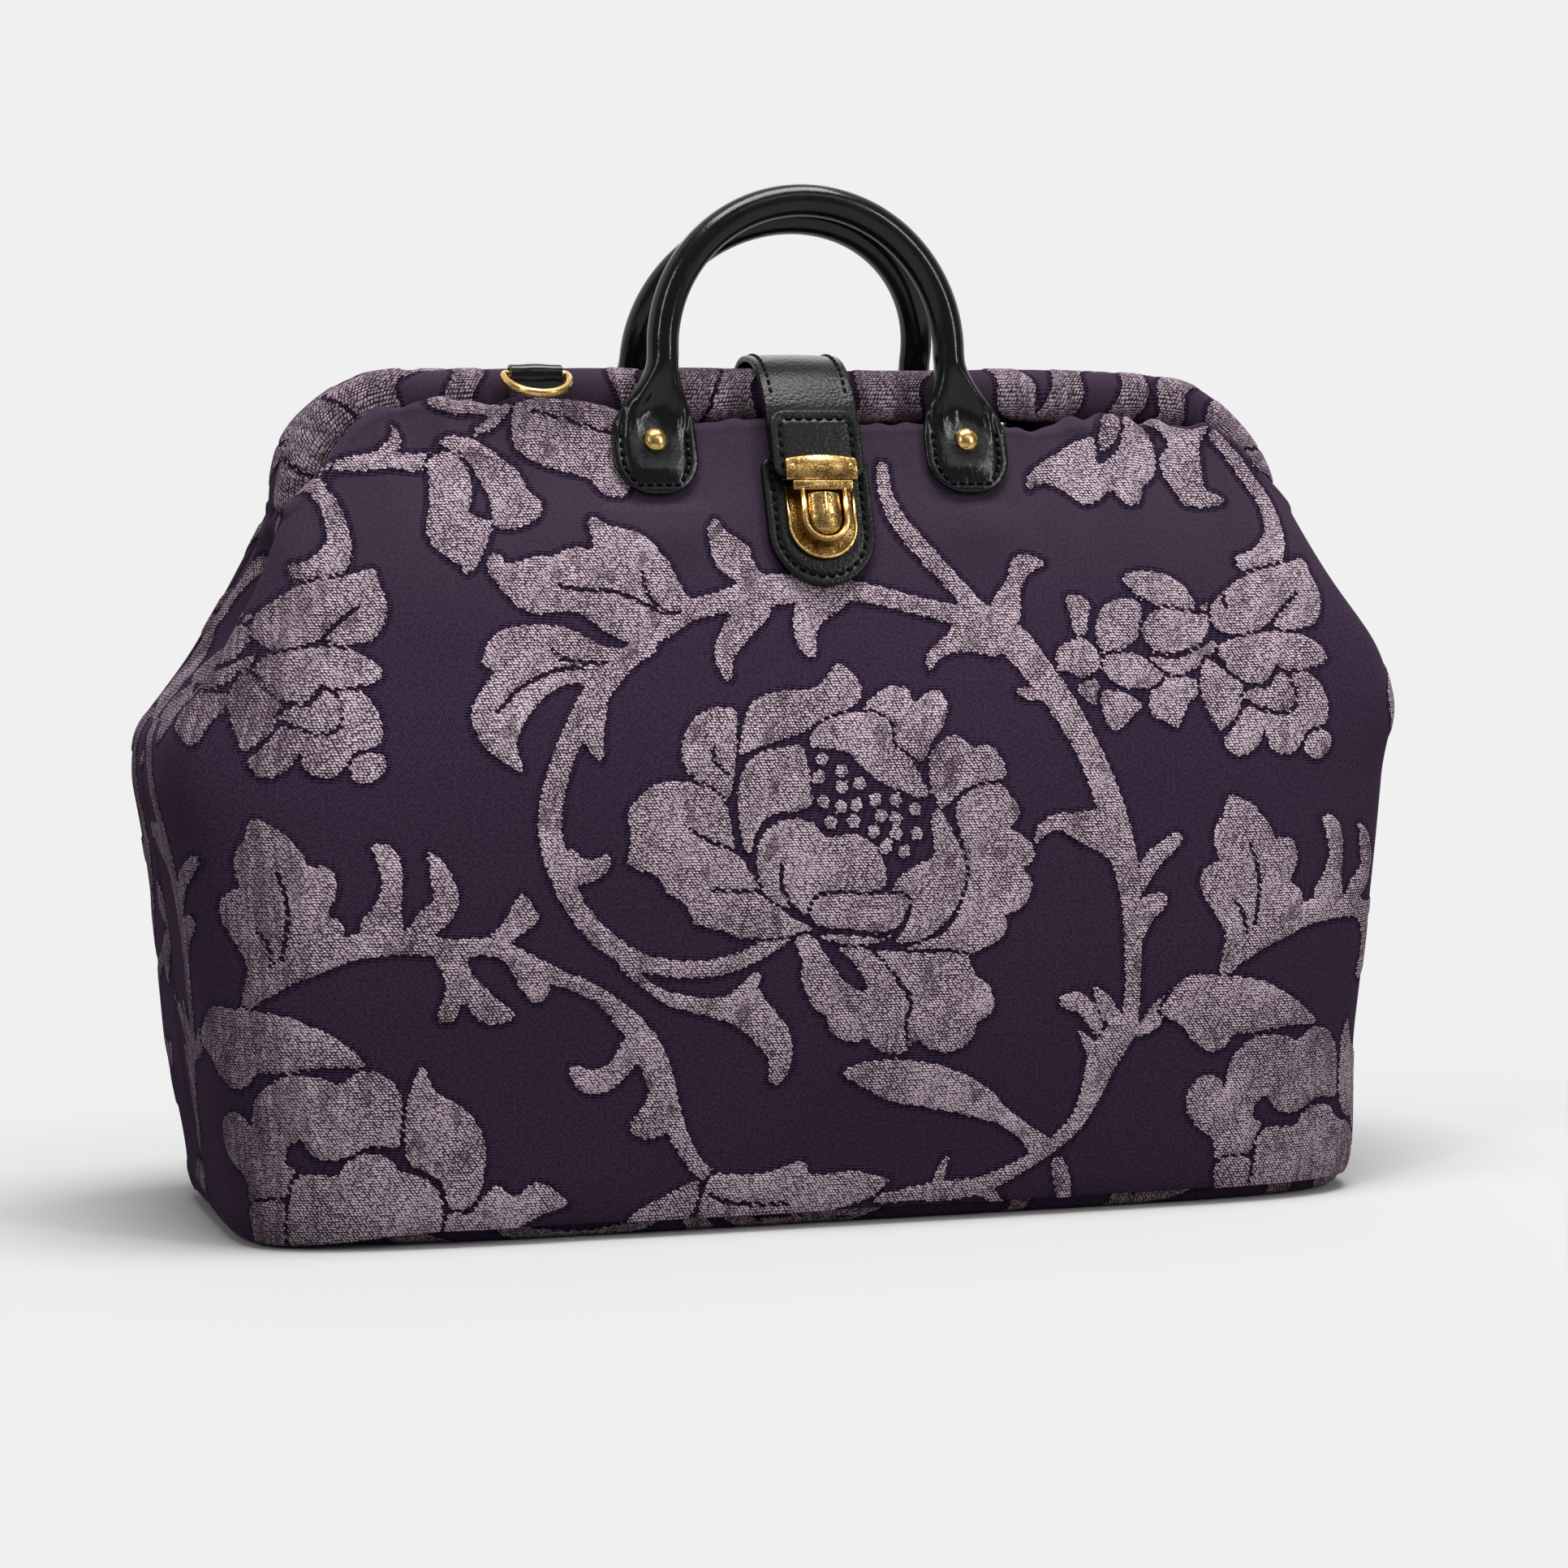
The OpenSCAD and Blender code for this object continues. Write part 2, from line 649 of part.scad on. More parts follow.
module clasp_plate() {
    color("#a88748")
    on_yoke(0, patch_z) difference() {
        union() {
            translate([0, 0, clasp_n]) linear_extrude(1.6) intersection() {
                translate([-clasp_w / 2, clasp_y]) square([clasp_w, 9.4]);
                translate([0, clasp_y + 9.4 - 60]) circle(r = 60, $fn = 180);
            }
            translate([-clasp_w / 2 + 2, clasp_y, tongue_n]) cube([clasp_w - 4, 1, clasp_n + 1 - tongue_n]);
            translate([-button_w / 2, slot_y + 0.4, tongue_n]) cube([button_w, clasp_y - slot_y, 1.2]);
        }
        for (e = [-1, 1]) translate([e * (clasp_w / 2 - 2.4), clasp_y + 4.4, strap_n])
            cylinder(d = 1.7, h = 10, $fn = 32);
    }
}
module clasp_rivets() {
    color("#c8a868")
    on_yoke(0, patch_z) for (e = [-1, 1])
        translate([e * (clasp_w / 2 - 2.4), clasp_y + 4.4, 0]) {
            translate([0, 0, strap_n + 0.4]) cylinder(d = 1.6, h = clasp_n + 1.65 - strap_n - 0.4, $fn = 32);
            translate([0, 0, clasp_n + 1.65]) cylinder(d1 = 2.6, d2 = 1.4, h = 0.7, $fn = 32);
        }
}
module strap_anchor() {
    r = strap_w / 2;
    low = ridge_z - 48 * tilt_c;
    length = (swing_z - 3.5 - low) / tilt_c;
    color("#1c1a1b")
    at_back() on_yoke(0, low) translate([0, 0, soft_gap]) linear_extrude(patch_t) bullet(strap_w, 0, length);
}

// Rings in their leather loops
loop_w = ring_in - 0.8;
loop_in = ring_wire / 2 + 0.3;
loop_t = 1.5;
function ring_z(drop) = ridge_z + ring_up - drop;
loop_y = -(casing_y + soft_gap + loop_in + loop_t);
module ring_loop(drop) {
    z = ring_z(drop);
    foot = ridge_z + soft_gap;
    translate([0, loop_y, 0]) across(loop_w) difference() {
        union() {
            translate([0, z]) circle(r = loop_in + loop_t);
            translate([-loop_t, foot]) square([2 * loop_t, z - foot]);
        }
        translate([0, z]) circle(r = loop_in);
    }
}
module d_ring(drop) {
    mid = (ring_in + ring_wire) / 2;
    straight = 3;
    translate([0, loop_y, ring_z(drop)]) rotate([ring_hang, 0, 0]) rotate([0, 0, 180]) {
        rotate([0, 90, 0]) cylinder(d = ring_wire, h = 2 * mid, center = true);
        for (e = [-1, 1]) translate([e * mid, 0, 0]) {
            sphere(d = ring_wire);
            rotate([-90, 0, 0]) cylinder(d = ring_wire, h = straight);
        }
        translate([0, straight, 0]) rotate_extrude(angle = 180) translate([mid, 0]) circle(d = ring_wire);
    }
}
back_drop = 3.6;
module front_ring_tab() {
    color("#1c1a1b") translate([-ring_x, 0, 0]) ring_loop(0);
}
module back_ring_tab() {
    color("#1c1a1b") translate([ring_x, 0, 0]) at_back() ring_loop(back_drop);
}
module front_ring() {
    color("#b08d4a") translate([-ring_x, 0, 0]) d_ring(0);
}
module back_ring() {
    color("#b08d4a") translate([ring_x, 0, 0]) at_back() d_ring(back_drop);
}

base_panel();
base_board();
lining();
front_panel();
back_panel();
left_gusset();
right_gusset();
hinge_pins();
front_frame();
back_frame();
front_casing();
back_casing();
front_yoke();
back_yoke();
front_left_tab();
front_right_tab();
back_left_tab();
back_right_tab();
front_rivets();
back_rivets();
front_washers();
back_washers();
front_handle();
back_handle();
lock_patch();
lock_body();
lock_button();
lock_spring();
lock_backplate();
strap_anchor();
closure_strap();
strap_facing();
clasp_plate();
clasp_rivets();
front_ring_tab();
back_ring_tab();
front_ring();
back_ring();
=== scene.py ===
# %% [markdown]
# # A carpet bag
# A carpet bag is a soft body of heavy figured cloth hung from two hinged metal bows, with rolled
# leather handles and a press lock. The solids come packed as a fixed frame, and this lesson dresses
# them. Every piece is placed in that frame, in millimetres here and in metres in Blender.

# %% Open the frame
import math

import bmesh
import bpy
import numpy as np
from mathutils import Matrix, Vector


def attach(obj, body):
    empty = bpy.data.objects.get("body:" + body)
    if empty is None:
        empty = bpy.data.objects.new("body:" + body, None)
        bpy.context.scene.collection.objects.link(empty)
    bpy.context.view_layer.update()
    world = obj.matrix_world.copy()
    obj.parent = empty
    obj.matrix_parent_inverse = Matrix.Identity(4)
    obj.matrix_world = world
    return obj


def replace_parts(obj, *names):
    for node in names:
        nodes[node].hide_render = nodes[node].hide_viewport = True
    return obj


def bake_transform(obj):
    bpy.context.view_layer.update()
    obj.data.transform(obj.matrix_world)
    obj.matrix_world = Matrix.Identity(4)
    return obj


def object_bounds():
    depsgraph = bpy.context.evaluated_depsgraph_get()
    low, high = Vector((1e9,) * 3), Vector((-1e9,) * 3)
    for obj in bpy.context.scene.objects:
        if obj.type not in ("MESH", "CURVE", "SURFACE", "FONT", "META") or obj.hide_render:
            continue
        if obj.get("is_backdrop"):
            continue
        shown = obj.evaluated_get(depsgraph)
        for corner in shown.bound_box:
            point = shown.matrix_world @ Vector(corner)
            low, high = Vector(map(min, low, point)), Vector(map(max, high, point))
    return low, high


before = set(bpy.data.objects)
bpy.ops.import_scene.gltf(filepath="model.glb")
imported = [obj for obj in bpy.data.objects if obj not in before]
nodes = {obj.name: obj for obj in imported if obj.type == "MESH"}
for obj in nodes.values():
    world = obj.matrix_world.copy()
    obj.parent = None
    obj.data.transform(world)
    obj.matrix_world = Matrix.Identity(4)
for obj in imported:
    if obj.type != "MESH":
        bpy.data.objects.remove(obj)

MM = 0.001
cad_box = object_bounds()

# %% [markdown]
# ## The eye
# The bag is seen a little from its left end and from just below its ridge. A long lens keeps it calm.
# The eye point is kept as plain numbers, because the cloth's drawing is laid on the wall from the
# same spot, the way a painter throws a drawing on a wall with a lantern.

# %% Camera
IMAGE, FOCAL, HORIZON, SENSOR = 1932, 5230, 524, 36
TURN, TIP = math.radians(17), math.atan2(IMAGE / 2 - HORIZON, FOCAL)
EYE = np.array([-437.2, -1424.4, 270.0])
FORWARD = np.array([math.sin(TURN) * math.cos(TIP), math.cos(TURN) * math.cos(TIP), -math.sin(TIP)])
RIGHT = np.array([math.cos(TURN), -math.sin(TURN), 0.0])
UP = np.cross(RIGHT, FORWARD)
lens = bpy.data.cameras.new("eye")
lens.sensor_width, lens.lens, lens.clip_end = SENSOR, SENSOR * FOCAL / IMAGE, 50
eye = bpy.data.objects.new("eye", lens)
eye.location = EYE * MM
eye.rotation_euler = Vector(FORWARD).to_track_quat("-Z", "Y").to_euler()
bpy.context.scene.collection.objects.link(eye)
bpy.context.scene.camera = eye
bpy.context.scene.view_settings.view_transform = "Standard"
print("lens", round(lens.lens, 1), "mm")

# %% [markdown]
# ## Shader helpers
# A finish is a small graph of nodes. Short helpers keep each graph readable: one adds a node and fills its
# sockets, a few do sums, one makes a noise, and one mixes two colours by a share.

# %% Node helpers
def add(tree, kind, settings=None, **sockets):
    made = tree.nodes.new("ShaderNode" + kind)
    for key, value in (settings or {}).items():
        setattr(made, key, value)
    for key, value in sockets.items():
        slot = made.inputs[int(key[1:])] if key[1:].isdigit() else made.inputs[key.replace("_", " ")]
        if isinstance(value, bpy.types.NodeSocket):
            tree.links.new(value, slot)
        else:
            slot.default_value = value
    return made


def calc(tree, sum_kind, a, b=0.0, c=0.0):
    return add(tree, "Math", {"operation": sum_kind}, i0=a, i1=b, i2=c).outputs[0]


def mul(tree, a, b):
    return calc(tree, "MULTIPLY", a, b)


def mul_add(tree, a, b, c):
    return calc(tree, "MULTIPLY_ADD", a, b, c)


def object_place(tree):
    return add(tree, "TexCoord").outputs["Object"]


def noise(tree, where, scale, detail, stretch=None, flat=False, **more):
    if stretch:
        where = add(tree, "Mapping", Vector=where, Scale=stretch).outputs[0]
    kind = {"noise_dimensions": "2D" if flat else "3D"}
    return add(tree, "TexNoise", kind, Vector=where, Scale=scale, Detail=detail, **more).outputs["Fac"]


def fade(tree, value, low, high, to_low=0.0, to_high=1.0):
    made = add(tree, "MapRange", {"interpolation_type": "SMOOTHSTEP"}, Value=value)
    for key, number in zip(("From Min", "From Max", "To Min", "To Max"), (low, high, to_low, to_high)):
        made.inputs[key].default_value = number
    return made.outputs[0]


def two_tone(tree, share, dark, light):
    made = add(tree, "Mix", {"data_type": "RGBA"}, i0=share)
    for number, colour in ((6, dark), (7, light)):
        if isinstance(colour, bpy.types.NodeSocket):
            tree.links.new(colour, made.inputs[number])
        else:
            made.inputs[number].default_value = (*colour, 1)
    return made.outputs[2]


def new_finish(name):
    made = bpy.data.materials.new(name)
    made.use_nodes = True
    made.node_tree.nodes.clear()
    return made, made.node_tree


def close_finish(tree, **sockets):
    skin = add(tree, "BsdfPrincipled", **sockets)
    tree.links.new(skin.outputs[0], add(tree, "OutputMaterial").inputs[0])
    return skin

# %% [markdown]
# ## Studio
# The bag stands on a pale sweep of paper. The floor is a plain diffuse sheet that takes the shadow, and
# away from the bag it passes into the same flat pale tone as the background. The sweep stands behind the
# bag and the room in front of it is dimmer, so black leather stays black. Soft lamps stand overhead, on
# both sides and behind, and leave long clean reflections on leather. A small one stands high in front,
# where the sloping face of the brass lock mirrors it.

# %% Floor and background
PAPER, PAPER_NEAR, PAPER_FAR = (0.871, 0.871, 0.871), 0.115, 0.3
FLOOR_HALF, FLOOR_MIRRORED, AIR_LIGHT = 9, 0.4, 0.18


def seen_ray(tree, mirrored):
    path = add(tree, "LightPath")
    shown = calc(tree, "MAXIMUM", path.outputs["Is Glossy Ray"], path.outputs["Is Transmission Ray"])
    return calc(tree, "MAXIMUM", path.outputs["Is Camera Ray"], mul(tree, shown, mirrored))


paper, tree = new_finish("studio_paper")
oval = add(tree, "Mapping", Vector=object_place(tree), Scale=(0.5, 1.0, 1.0)).outputs[0]
away = add(tree, "VectorMath", {"operation": "LENGTH"}, i0=oval).outputs["Value"]
shown = seen_ray(tree, FLOOR_MIRRORED)
lit = add(tree, "BsdfDiffuse", Color=two_tone(tree, shown, (0.3, 0.3, 0.3), (0.59, 0.59, 0.59)))
flat = add(tree, "Emission", Color=(*PAPER, 1), Strength=1.0)
share = mul(tree, shown, fade(tree, away, PAPER_NEAR, PAPER_FAR))
mixed = add(tree, "MixShader", i0=share, i1=lit.outputs[0], i2=flat.outputs[0])
tree.links.new(mixed.outputs[0], add(tree, "OutputMaterial").inputs[0])
floor_mesh = bpy.data.meshes.new("studio_floor")
corners = [(x * FLOOR_HALF, y * FLOOR_HALF, 0) for x, y in ((-1, -1), (1, -1), (1, 1), (-1, 1))]
floor_mesh.from_pydata(corners, [], [(0, 1, 2, 3)])
floor = bpy.data.objects.new("studio_floor", floor_mesh)
floor_mesh.materials.append(paper)
bpy.context.scene.collection.objects.link(floor)
floor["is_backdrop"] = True

world = bpy.data.worlds.new("studio_air")
bpy.context.scene.world = world
world.use_nodes = True
world.node_tree.nodes.clear()
air = world.node_tree
seen = add(air, "Background", Color=(*PAPER, 1), Strength=1.0)
soft = add(air, "Background", Color=(0.97, 0.98, 1.0, 1), Strength=AIR_LIGHT)
towards = add(air, "SeparateXYZ", Vector=add(air, "TexCoord").outputs["Generated"])
sweep = fade(air, towards.outputs[1], -0.1, 0.35, 0.04, 1.0)
both = add(air, "MixShader", i0=seen_ray(air, sweep), i1=soft.outputs[0], i2=seen.outputs[0])
air.links.new(both.outputs[0], add(air, "OutputWorld").inputs[0])


# %% Lamps
def soft_lamp(name, place, aim, size, power):
    data = bpy.data.lights.new(name, "AREA")
    data.shape, data.size, data.size_y, data.energy = "RECTANGLE", size[0], size[1], power
    lamp = bpy.data.objects.new(name, data)
    lamp.location = place
    lamp.rotation_euler = (Vector(aim) - Vector(place)).to_track_quat("-Z", "Y").to_euler()
    bpy.context.scene.collection.objects.link(lamp)


soft_lamp("overhead", (0.1, -0.35, 2.3), (0, 0, 0.15), (1.8, 1.0), 64)
soft_lamp("right_front", (1.5, -1.9, 1.25), (0, 0, 0.18), (0.22, 1.4), 16)
soft_lamp("left_front", (-1.85, -1.75, 1.5), (0, 0, 0.2), (0.24, 1.3), 13)
soft_lamp("behind", (0.4, 2.2, 1.6), (0, 0, 0.2), (2.0, 1.2), 11)
soft_lamp("front_high", (0.5, -1.5, 1.6), (0, 0, 0.25), (0.8, 0.5), 1.6)
print("studio: paper floor and 5 lamps")

# %% [markdown]
# ## Shape of the body
# The body is a rounded box on plan that grows to its widest at the belly and then leans in to a ridge
# under the frame. A few functions of height hold that: half width, half depth and squareness of the
# corners. The belly line is eased, because cloth rolls over a fold instead of breaking at it.

# %% Body functions
BASE_W, BASE_D, BELLY_W, BELLY_D, BELLY_Z, RIDGE_D = 400, 150, 440, 124, 168, 45
HINGE_Z, FRAME_X, BOW_Z, BOW_R, CASING_H, CASING_T = 238, 174, 280, 34, 18, 12
RIDGE_Z, CASING_Y, CORNER_X, CORNER_IN = 271, 12.4, 140, 25
RIDGE_A = BELLY_W / 2 - (BELLY_W / 2 - FRAME_X - CASING_H / 2) * (RIDGE_Z - BELLY_Z) / (HINGE_Z - BELLY_Z)
FLAT_S, FLAT_W, EDGE_S = 0.7, 0.9, 0.8
HEM_H, HEM_IN, SLOUCH_Z, SLOUCH_RUN, SLOUCH_LEFT, SLOUCH_LESS = 14, 7, 145, 52, 7.6, 4.0
LEVEL_STEP, REACH = 0.2, 200


def smooth(t):
    t = np.clip(t, 0, 1)
    return t * t * (3 - 2 * t)


def hem_in(z):
    return np.where(z >= HEM_H, 0, HEM_IN * (1 - np.sqrt(np.clip(1 - ((HEM_H - z) / HEM_H) ** 2, 0, 1))))


def leaning(x, z):
    low = 1 - smooth((z - SLOUCH_Z) / SLOUCH_RUN)
    return -low * (SLOUCH_LEFT - SLOUCH_LESS * smooth((x - 60) / 130))


LEVELS = np.linspace(0, 320, 1601)
rise = np.clip(LEVELS / BELLY_Z, 0, 1)
lean = (LEVELS - BELLY_Z) / (RIDGE_Z - BELLY_Z)
width_raw = np.where(lean < 0, BASE_W / 2 + (BELLY_W - BASE_W) / 2 * rise ** 1.3,
                     BELLY_W / 2 + (RIDGE_A - BELLY_W / 2) * lean)
depth_raw = np.where(lean < 0, BASE_D / 2 + (BELLY_D - BASE_D) / 2 * rise ** 2.4 + 4 * np.sin(math.pi * rise),
                     BELLY_D / 2 + (RIDGE_D - BELLY_D) / 2 * lean)


def eased(raw, spread):
    kernel = np.exp(-0.5 * (np.arange(-REACH, REACH + 1) * LEVEL_STEP / spread) ** 2)
    before = raw[0] - (raw[1:REACH + 1][::-1] - raw[0])
    after = raw[-1] + (raw[-1] - raw[-REACH - 1:-1][::-1])
    mean = np.convolve(np.concatenate([before, raw, after]), kernel / kernel.sum(), "valid")
    return raw + (mean - raw) * smooth(1 - np.abs(LEVELS - BELLY_Z) / 60)


WIDTHS, DEPTHS = eased(width_raw, 4.0), eased(depth_raw, 11.0)


def half_width(z):
    return np.interp(z, LEVELS, WIDTHS) - hem_in(z)


def half_depth(z):
    return np.interp(z, LEVELS, DEPTHS) - hem_in(z)


def squareness(z):
    return np.where(z <= BELLY_Z, 6 - z / BELLY_Z, 5 + 3 * (z - BELLY_Z) / (RIDGE_Z - BELLY_Z))


def plan(s, a, b, n):
    t = np.abs(s)
    flat_x = a * FLAT_W * s / FLAT_S
    flat_y = -b * np.clip(1 - (FLAT_W * np.minimum(t, FLAT_S) / FLAT_S) ** n, 0, 1) ** (1 / n)
    q = (1 - FLAT_W ** n) ** (1 / n) * (1 - (np.maximum(t, FLAT_S) - FLAT_S) / (1 - FLAT_S))
    side_x = np.sign(s) * a * (1 - q ** n) ** (1 / n)
    return np.where(t <= FLAT_S, flat_x, side_x), np.where(t <= FLAT_S, flat_y, -b * q)


def wall(s, z, inset=0.0):
    return plan(s, half_width(z) - inset, half_depth(z) - inset, squareness(z))


print("belly half depth", round(float(half_depth(BELLY_Z)), 1), "mm")

# %% [markdown]
# ## The figured cloth
# Carpet cloth is a dark satin ground with flowers of cut pile. The flowers are drawn here: each
# petal is a ring of a few points that a smooth curve joins, each vine is a line with a half width at
# every point, and each vein is a thin line that is cut out again. The points are set on a sheet of
# 1932 units and thrown on the front wall from the eye point. From there on they are plain cloth
# millimetres, and the loom repeats them every 336 mm.

# %% Throw a drawing on the wall
def on_cloth(spots):
    spots = np.asarray(spots, float) - IMAGE / 2
    ray = FORWARD + spots[:, :1] / FOCAL * RIGHT - spots[:, 1:2] / FOCAL * UP
    y = np.full(len(spots), -BELLY_D / 2)
    for _ in range(6):
        far = (y - EYE[1]) / ray[:, 1]
        z = EYE[2] + far * ray[:, 2]
        y = -np.interp(z, LEVELS, DEPTHS)
    seen = across = EYE[0] + far * ray[:, 0]
    for _ in range(4):
        across = seen - leaning(across, z)
    return np.column_stack([across, z])


def curve(points, closed, per=5):
    n, t = len(points), (np.arange(per) / per)[:, None]
    pick = (lambda i: points[i % n]) if closed else (lambda i: points[min(max(i, 0), n - 1)])
    runs = []
    for i in range(n if closed else n - 1):
        a, b, c, d = pick(i - 1), pick(i), pick(i + 1), pick(i + 2)
        runs.append(0.5 * (2 * b + (c - a) * t + (2 * a - 5 * b + 4 * c - d) * t ** 2
                           + (3 * b - a - 3 * c + d) * t ** 3))
    return np.vstack(runs if closed else runs + [points[-1:]])


def numbers(text, each):
    return np.array([float(word) for word in text.split()]).reshape(-1, each)


print("middle of the drawing falls at", on_cloth([[IMAGE / 2, IMAGE / 2]]).round(1).tolist()[0])

# %% [markdown]
# ### Vines, leaves and flowers
# The order is the order of drawing. Vines, twigs and leaves join where they touch. A petal laid over
# another keeps a thin dark line of ground around it, which is how the weaver parts one petal from the
# next.

# %% Vines and twigs, as x y half-width
VINES = [
    "835 757 14 870 748 12 905 738 14 940 728 18 975 724 17 1010 725 13 1050 727 12 1095 736 11 1145 749 11 "
    "1185 758 13 1218 766 19 1252 792 20 1286 836 17 1315 880 16 1341 927 15 1363 980 17 1381 1040 18 1393 1100 13 "
    "1397 1160 11 1397 1220 10 1391 1266 11",
    "798 800 9 770 815 13 742 842 17 715 885 15 692 935 14 679 985 14 677 1030 14 690 1078 14 712 1122 12 742 1156 12 "
    "784 1183 10 835 1194 10 885 1192 10 930 1176 9 968 1152 9",
    "1214 760 12 1180 722 11 1142 682 11 1108 642 11 1092 606 9 1088 576 8",
    "340 1226 8 369 1205 10 401 1189 12 434 1172 14 475 1163 15 515 1163 13 556 1170 11 597 1167 10 629 1176 11 "
    "658 1192 11 698 1208 9 739 1226 9 770 1254 13 797 1288 16 812 1325 17 822 1362 15 838 1402 11 "
    "858 1436 9 886 1460 9",
    "1082 1477 6 1125 1471 9 1163 1467 12 1202 1462 11 1240 1446 9 1274 1426 8 1307 1402 9 1331 1374 10 1346 1340 14 "
    "1357 1308 19 1374 1282 19 1392 1262 13",
    "1154 1460 8 1161 1438 5 1167 1424 2", "1211 1465 8 1228 1478 6 1238 1480 2",
    "1490 754 11 1519 745 11 1546 727 12 1567 704 11 1576 673 13 1572 647 13 1563 620 11 1549 601 10 1532 580 10 "
    "1514 556 9 1497 539 8",
    "399 575 4 443 571 9 480 567 10 510 569 10 535 566 9 552 559 7", "473 560 8 487 544 7 485 527 4",
    "586 532 4 605 520 6 623 501 5", "1303 1433 8 1308 1452 10 1312 1478 9",
]

# %% Leaves and twig blades, as outlines
LEAVES = [
    "600 687 615 685 622 696 637 694 662 687 677 688 695 679 714 676 728 681 727 663 721 644 732 639 747 650 776 657 "
    "798 670 816 688 827 703 838 725 853 742 871 746 853 765 827 784 805 795 776 795 754 787 736 776 721 765 706 756 "
    "673 758 651 758 629 743 611 721 600 707",
    "595 804 605 788 623 777 650 773 671 773 700 777 735 796 765 802 800 800 775 822 752 842 744 862 725 850 700 845 "
    "674 857 656 875 641 898 634 923 643 951 630 949 612 938 594 923 581 898 579 876 590 854 605 832 592 821",
    "708 882 706 912 716 918 728 930 741 939 742 905 745 866 728 862",
    "700 1046 722 1061 747 1053 751 1066 736 1084 703 1090 690 1070",
    "873 674 871 652 881 641 893 655 912 666 923 674 926 688 941 707 963 712 952 728 923 728 908 718 890 707 879 692",
    "910 746 886 780 879 809 890 835 901 838 903 813 919 791 950 755 935 738",
    "985 735 978 769 985 795 998 809 1007 804 1007 780 1018 762 1045 742 1015 728",
    "1222 764 1224 738 1240 715 1246 692 1262 682 1289 693 1269 706 1258 727 1256 766",
    "1193 745 1170 778 1152 796 1142 808 1146 828 1158 812 1180 803 1202 803 1230 808 1238 780",
    "1300 856 1272 847 1251 851 1264 862 1291 866 1316 890",
    "1274 1042 1278 1018 1298 1004 1326 1002 1352 1000 1386 1030 1384 1074 1355 1049 1331 1040 1302 1023 1283 1033",
    "1400 1084 1413 1052 1432 1038 1451 1026 1461 1033 1446 1052 1427 1071 1406 1104",
    "1400 1120 1418 1102 1439 1102 1439 1117 1422 1134 1408 1156",
    "1305 1228 1327 1222 1346 1236 1358 1262 1352 1276 1340 1262 1326 1247 1308 1241",
    "1346 1214 1364 1224 1380 1248 1382 1266 1362 1258 1352 1238",
    "1395 1276 1412 1252 1432 1230 1456 1214 1476 1210 1470 1230 1446 1250 1420 1272",
    "1340 1300 1330 1276 1328 1268 1338 1274 1352 1290",
    "784 1193 803 1212 836 1225 877 1230 903 1223 928 1199 939 1203 "
    "935 1219 952 1242 971 1268 976 1294 971 1320 959 1336 946 1331 948 1309 933 1287 911 1268 888 1257 859 1249 "
    "821 1238 799 1223 762 1190",
    "1036 1323 1058 1309 1096 1305 1144 1309 1182 1321 1216 1340 1245 1369 1269 1388 1296 1407 1274 1422 1254 1402 "
    "1226 1383 1192 1374 1144 1364 1101 1357 1067 1342",
    "450 1143 467 1115 475 1090 467 1058 462 1045 479 1041 495 1058 499 1090 497 1123 499 1156 475 1166",
    "505 1156 515 1128 535 1110 532 1090 530 1070 527 1052 545 1062 557 1082 565 1102 562 1123 548 1143 525 1156",
    "597 1163 621 1135 641 1102 657 1118 663 1135 637 1155 615 1170",
    "532 1168 548 1204 548 1228 540 1257 560 1259 572 1236 588 1257 613 1263 635 1250 605 1224 584 1204 568 1172",
    "612 1167 629 1196 649 1228 666 1236 678 1220 674 1198 658 1184",
    "772 1280 754 1309 728 1320 707 1313 706 1331 724 1348 747 1346 769 1331 790 1300",
    "800 1318 799 1354 780 1380 778 1395 799 1404 821 1397 838 1392 828 1350",
    "324 1013 349 1021 369 1037 385 1058 389 1070 410 1070 422 1086 420 1110 412 1127 428 1139 430 1155 412 1176 "
    "401 1188 369 1200 353 1208 345 1220 328 1245 308 1249 312 1220 316 1200 308 1180 292 1155 281 1135 284 1115 "
    "300 1102 308 1098 302 1078 304 1054 316 1037",
    "773 1509 791 1488 821 1473 855 1455 860 1470 855 1492 836 1509 803 1516",
    "1532 702 1523 687 1546 678 1568 652 1574 676 1552 704",
    "524 490 539 483 564 485 597 487 616 498 605 510 575 510 550 510 531 501",
    "631 504 635 496 671 491 715 492 751 499 776 515 780 560 774 606 756 612 738 607 724 589 698 582 671 575 649 566 "
    "633 549 629 527",
]
VEINS = [
    "688 725 721 729 758 732 783 743 805 754 835 758", "789 707 794 729 809 751", "610 880 640 850 680 830 716 825",
    "675 795 690 815 745 820", "653 509 680 513 715 523 751 533", "353 1078 361 1102 365 1131 363 1155 357 1188",
    "328 1151 342 1171 345 1196",
]

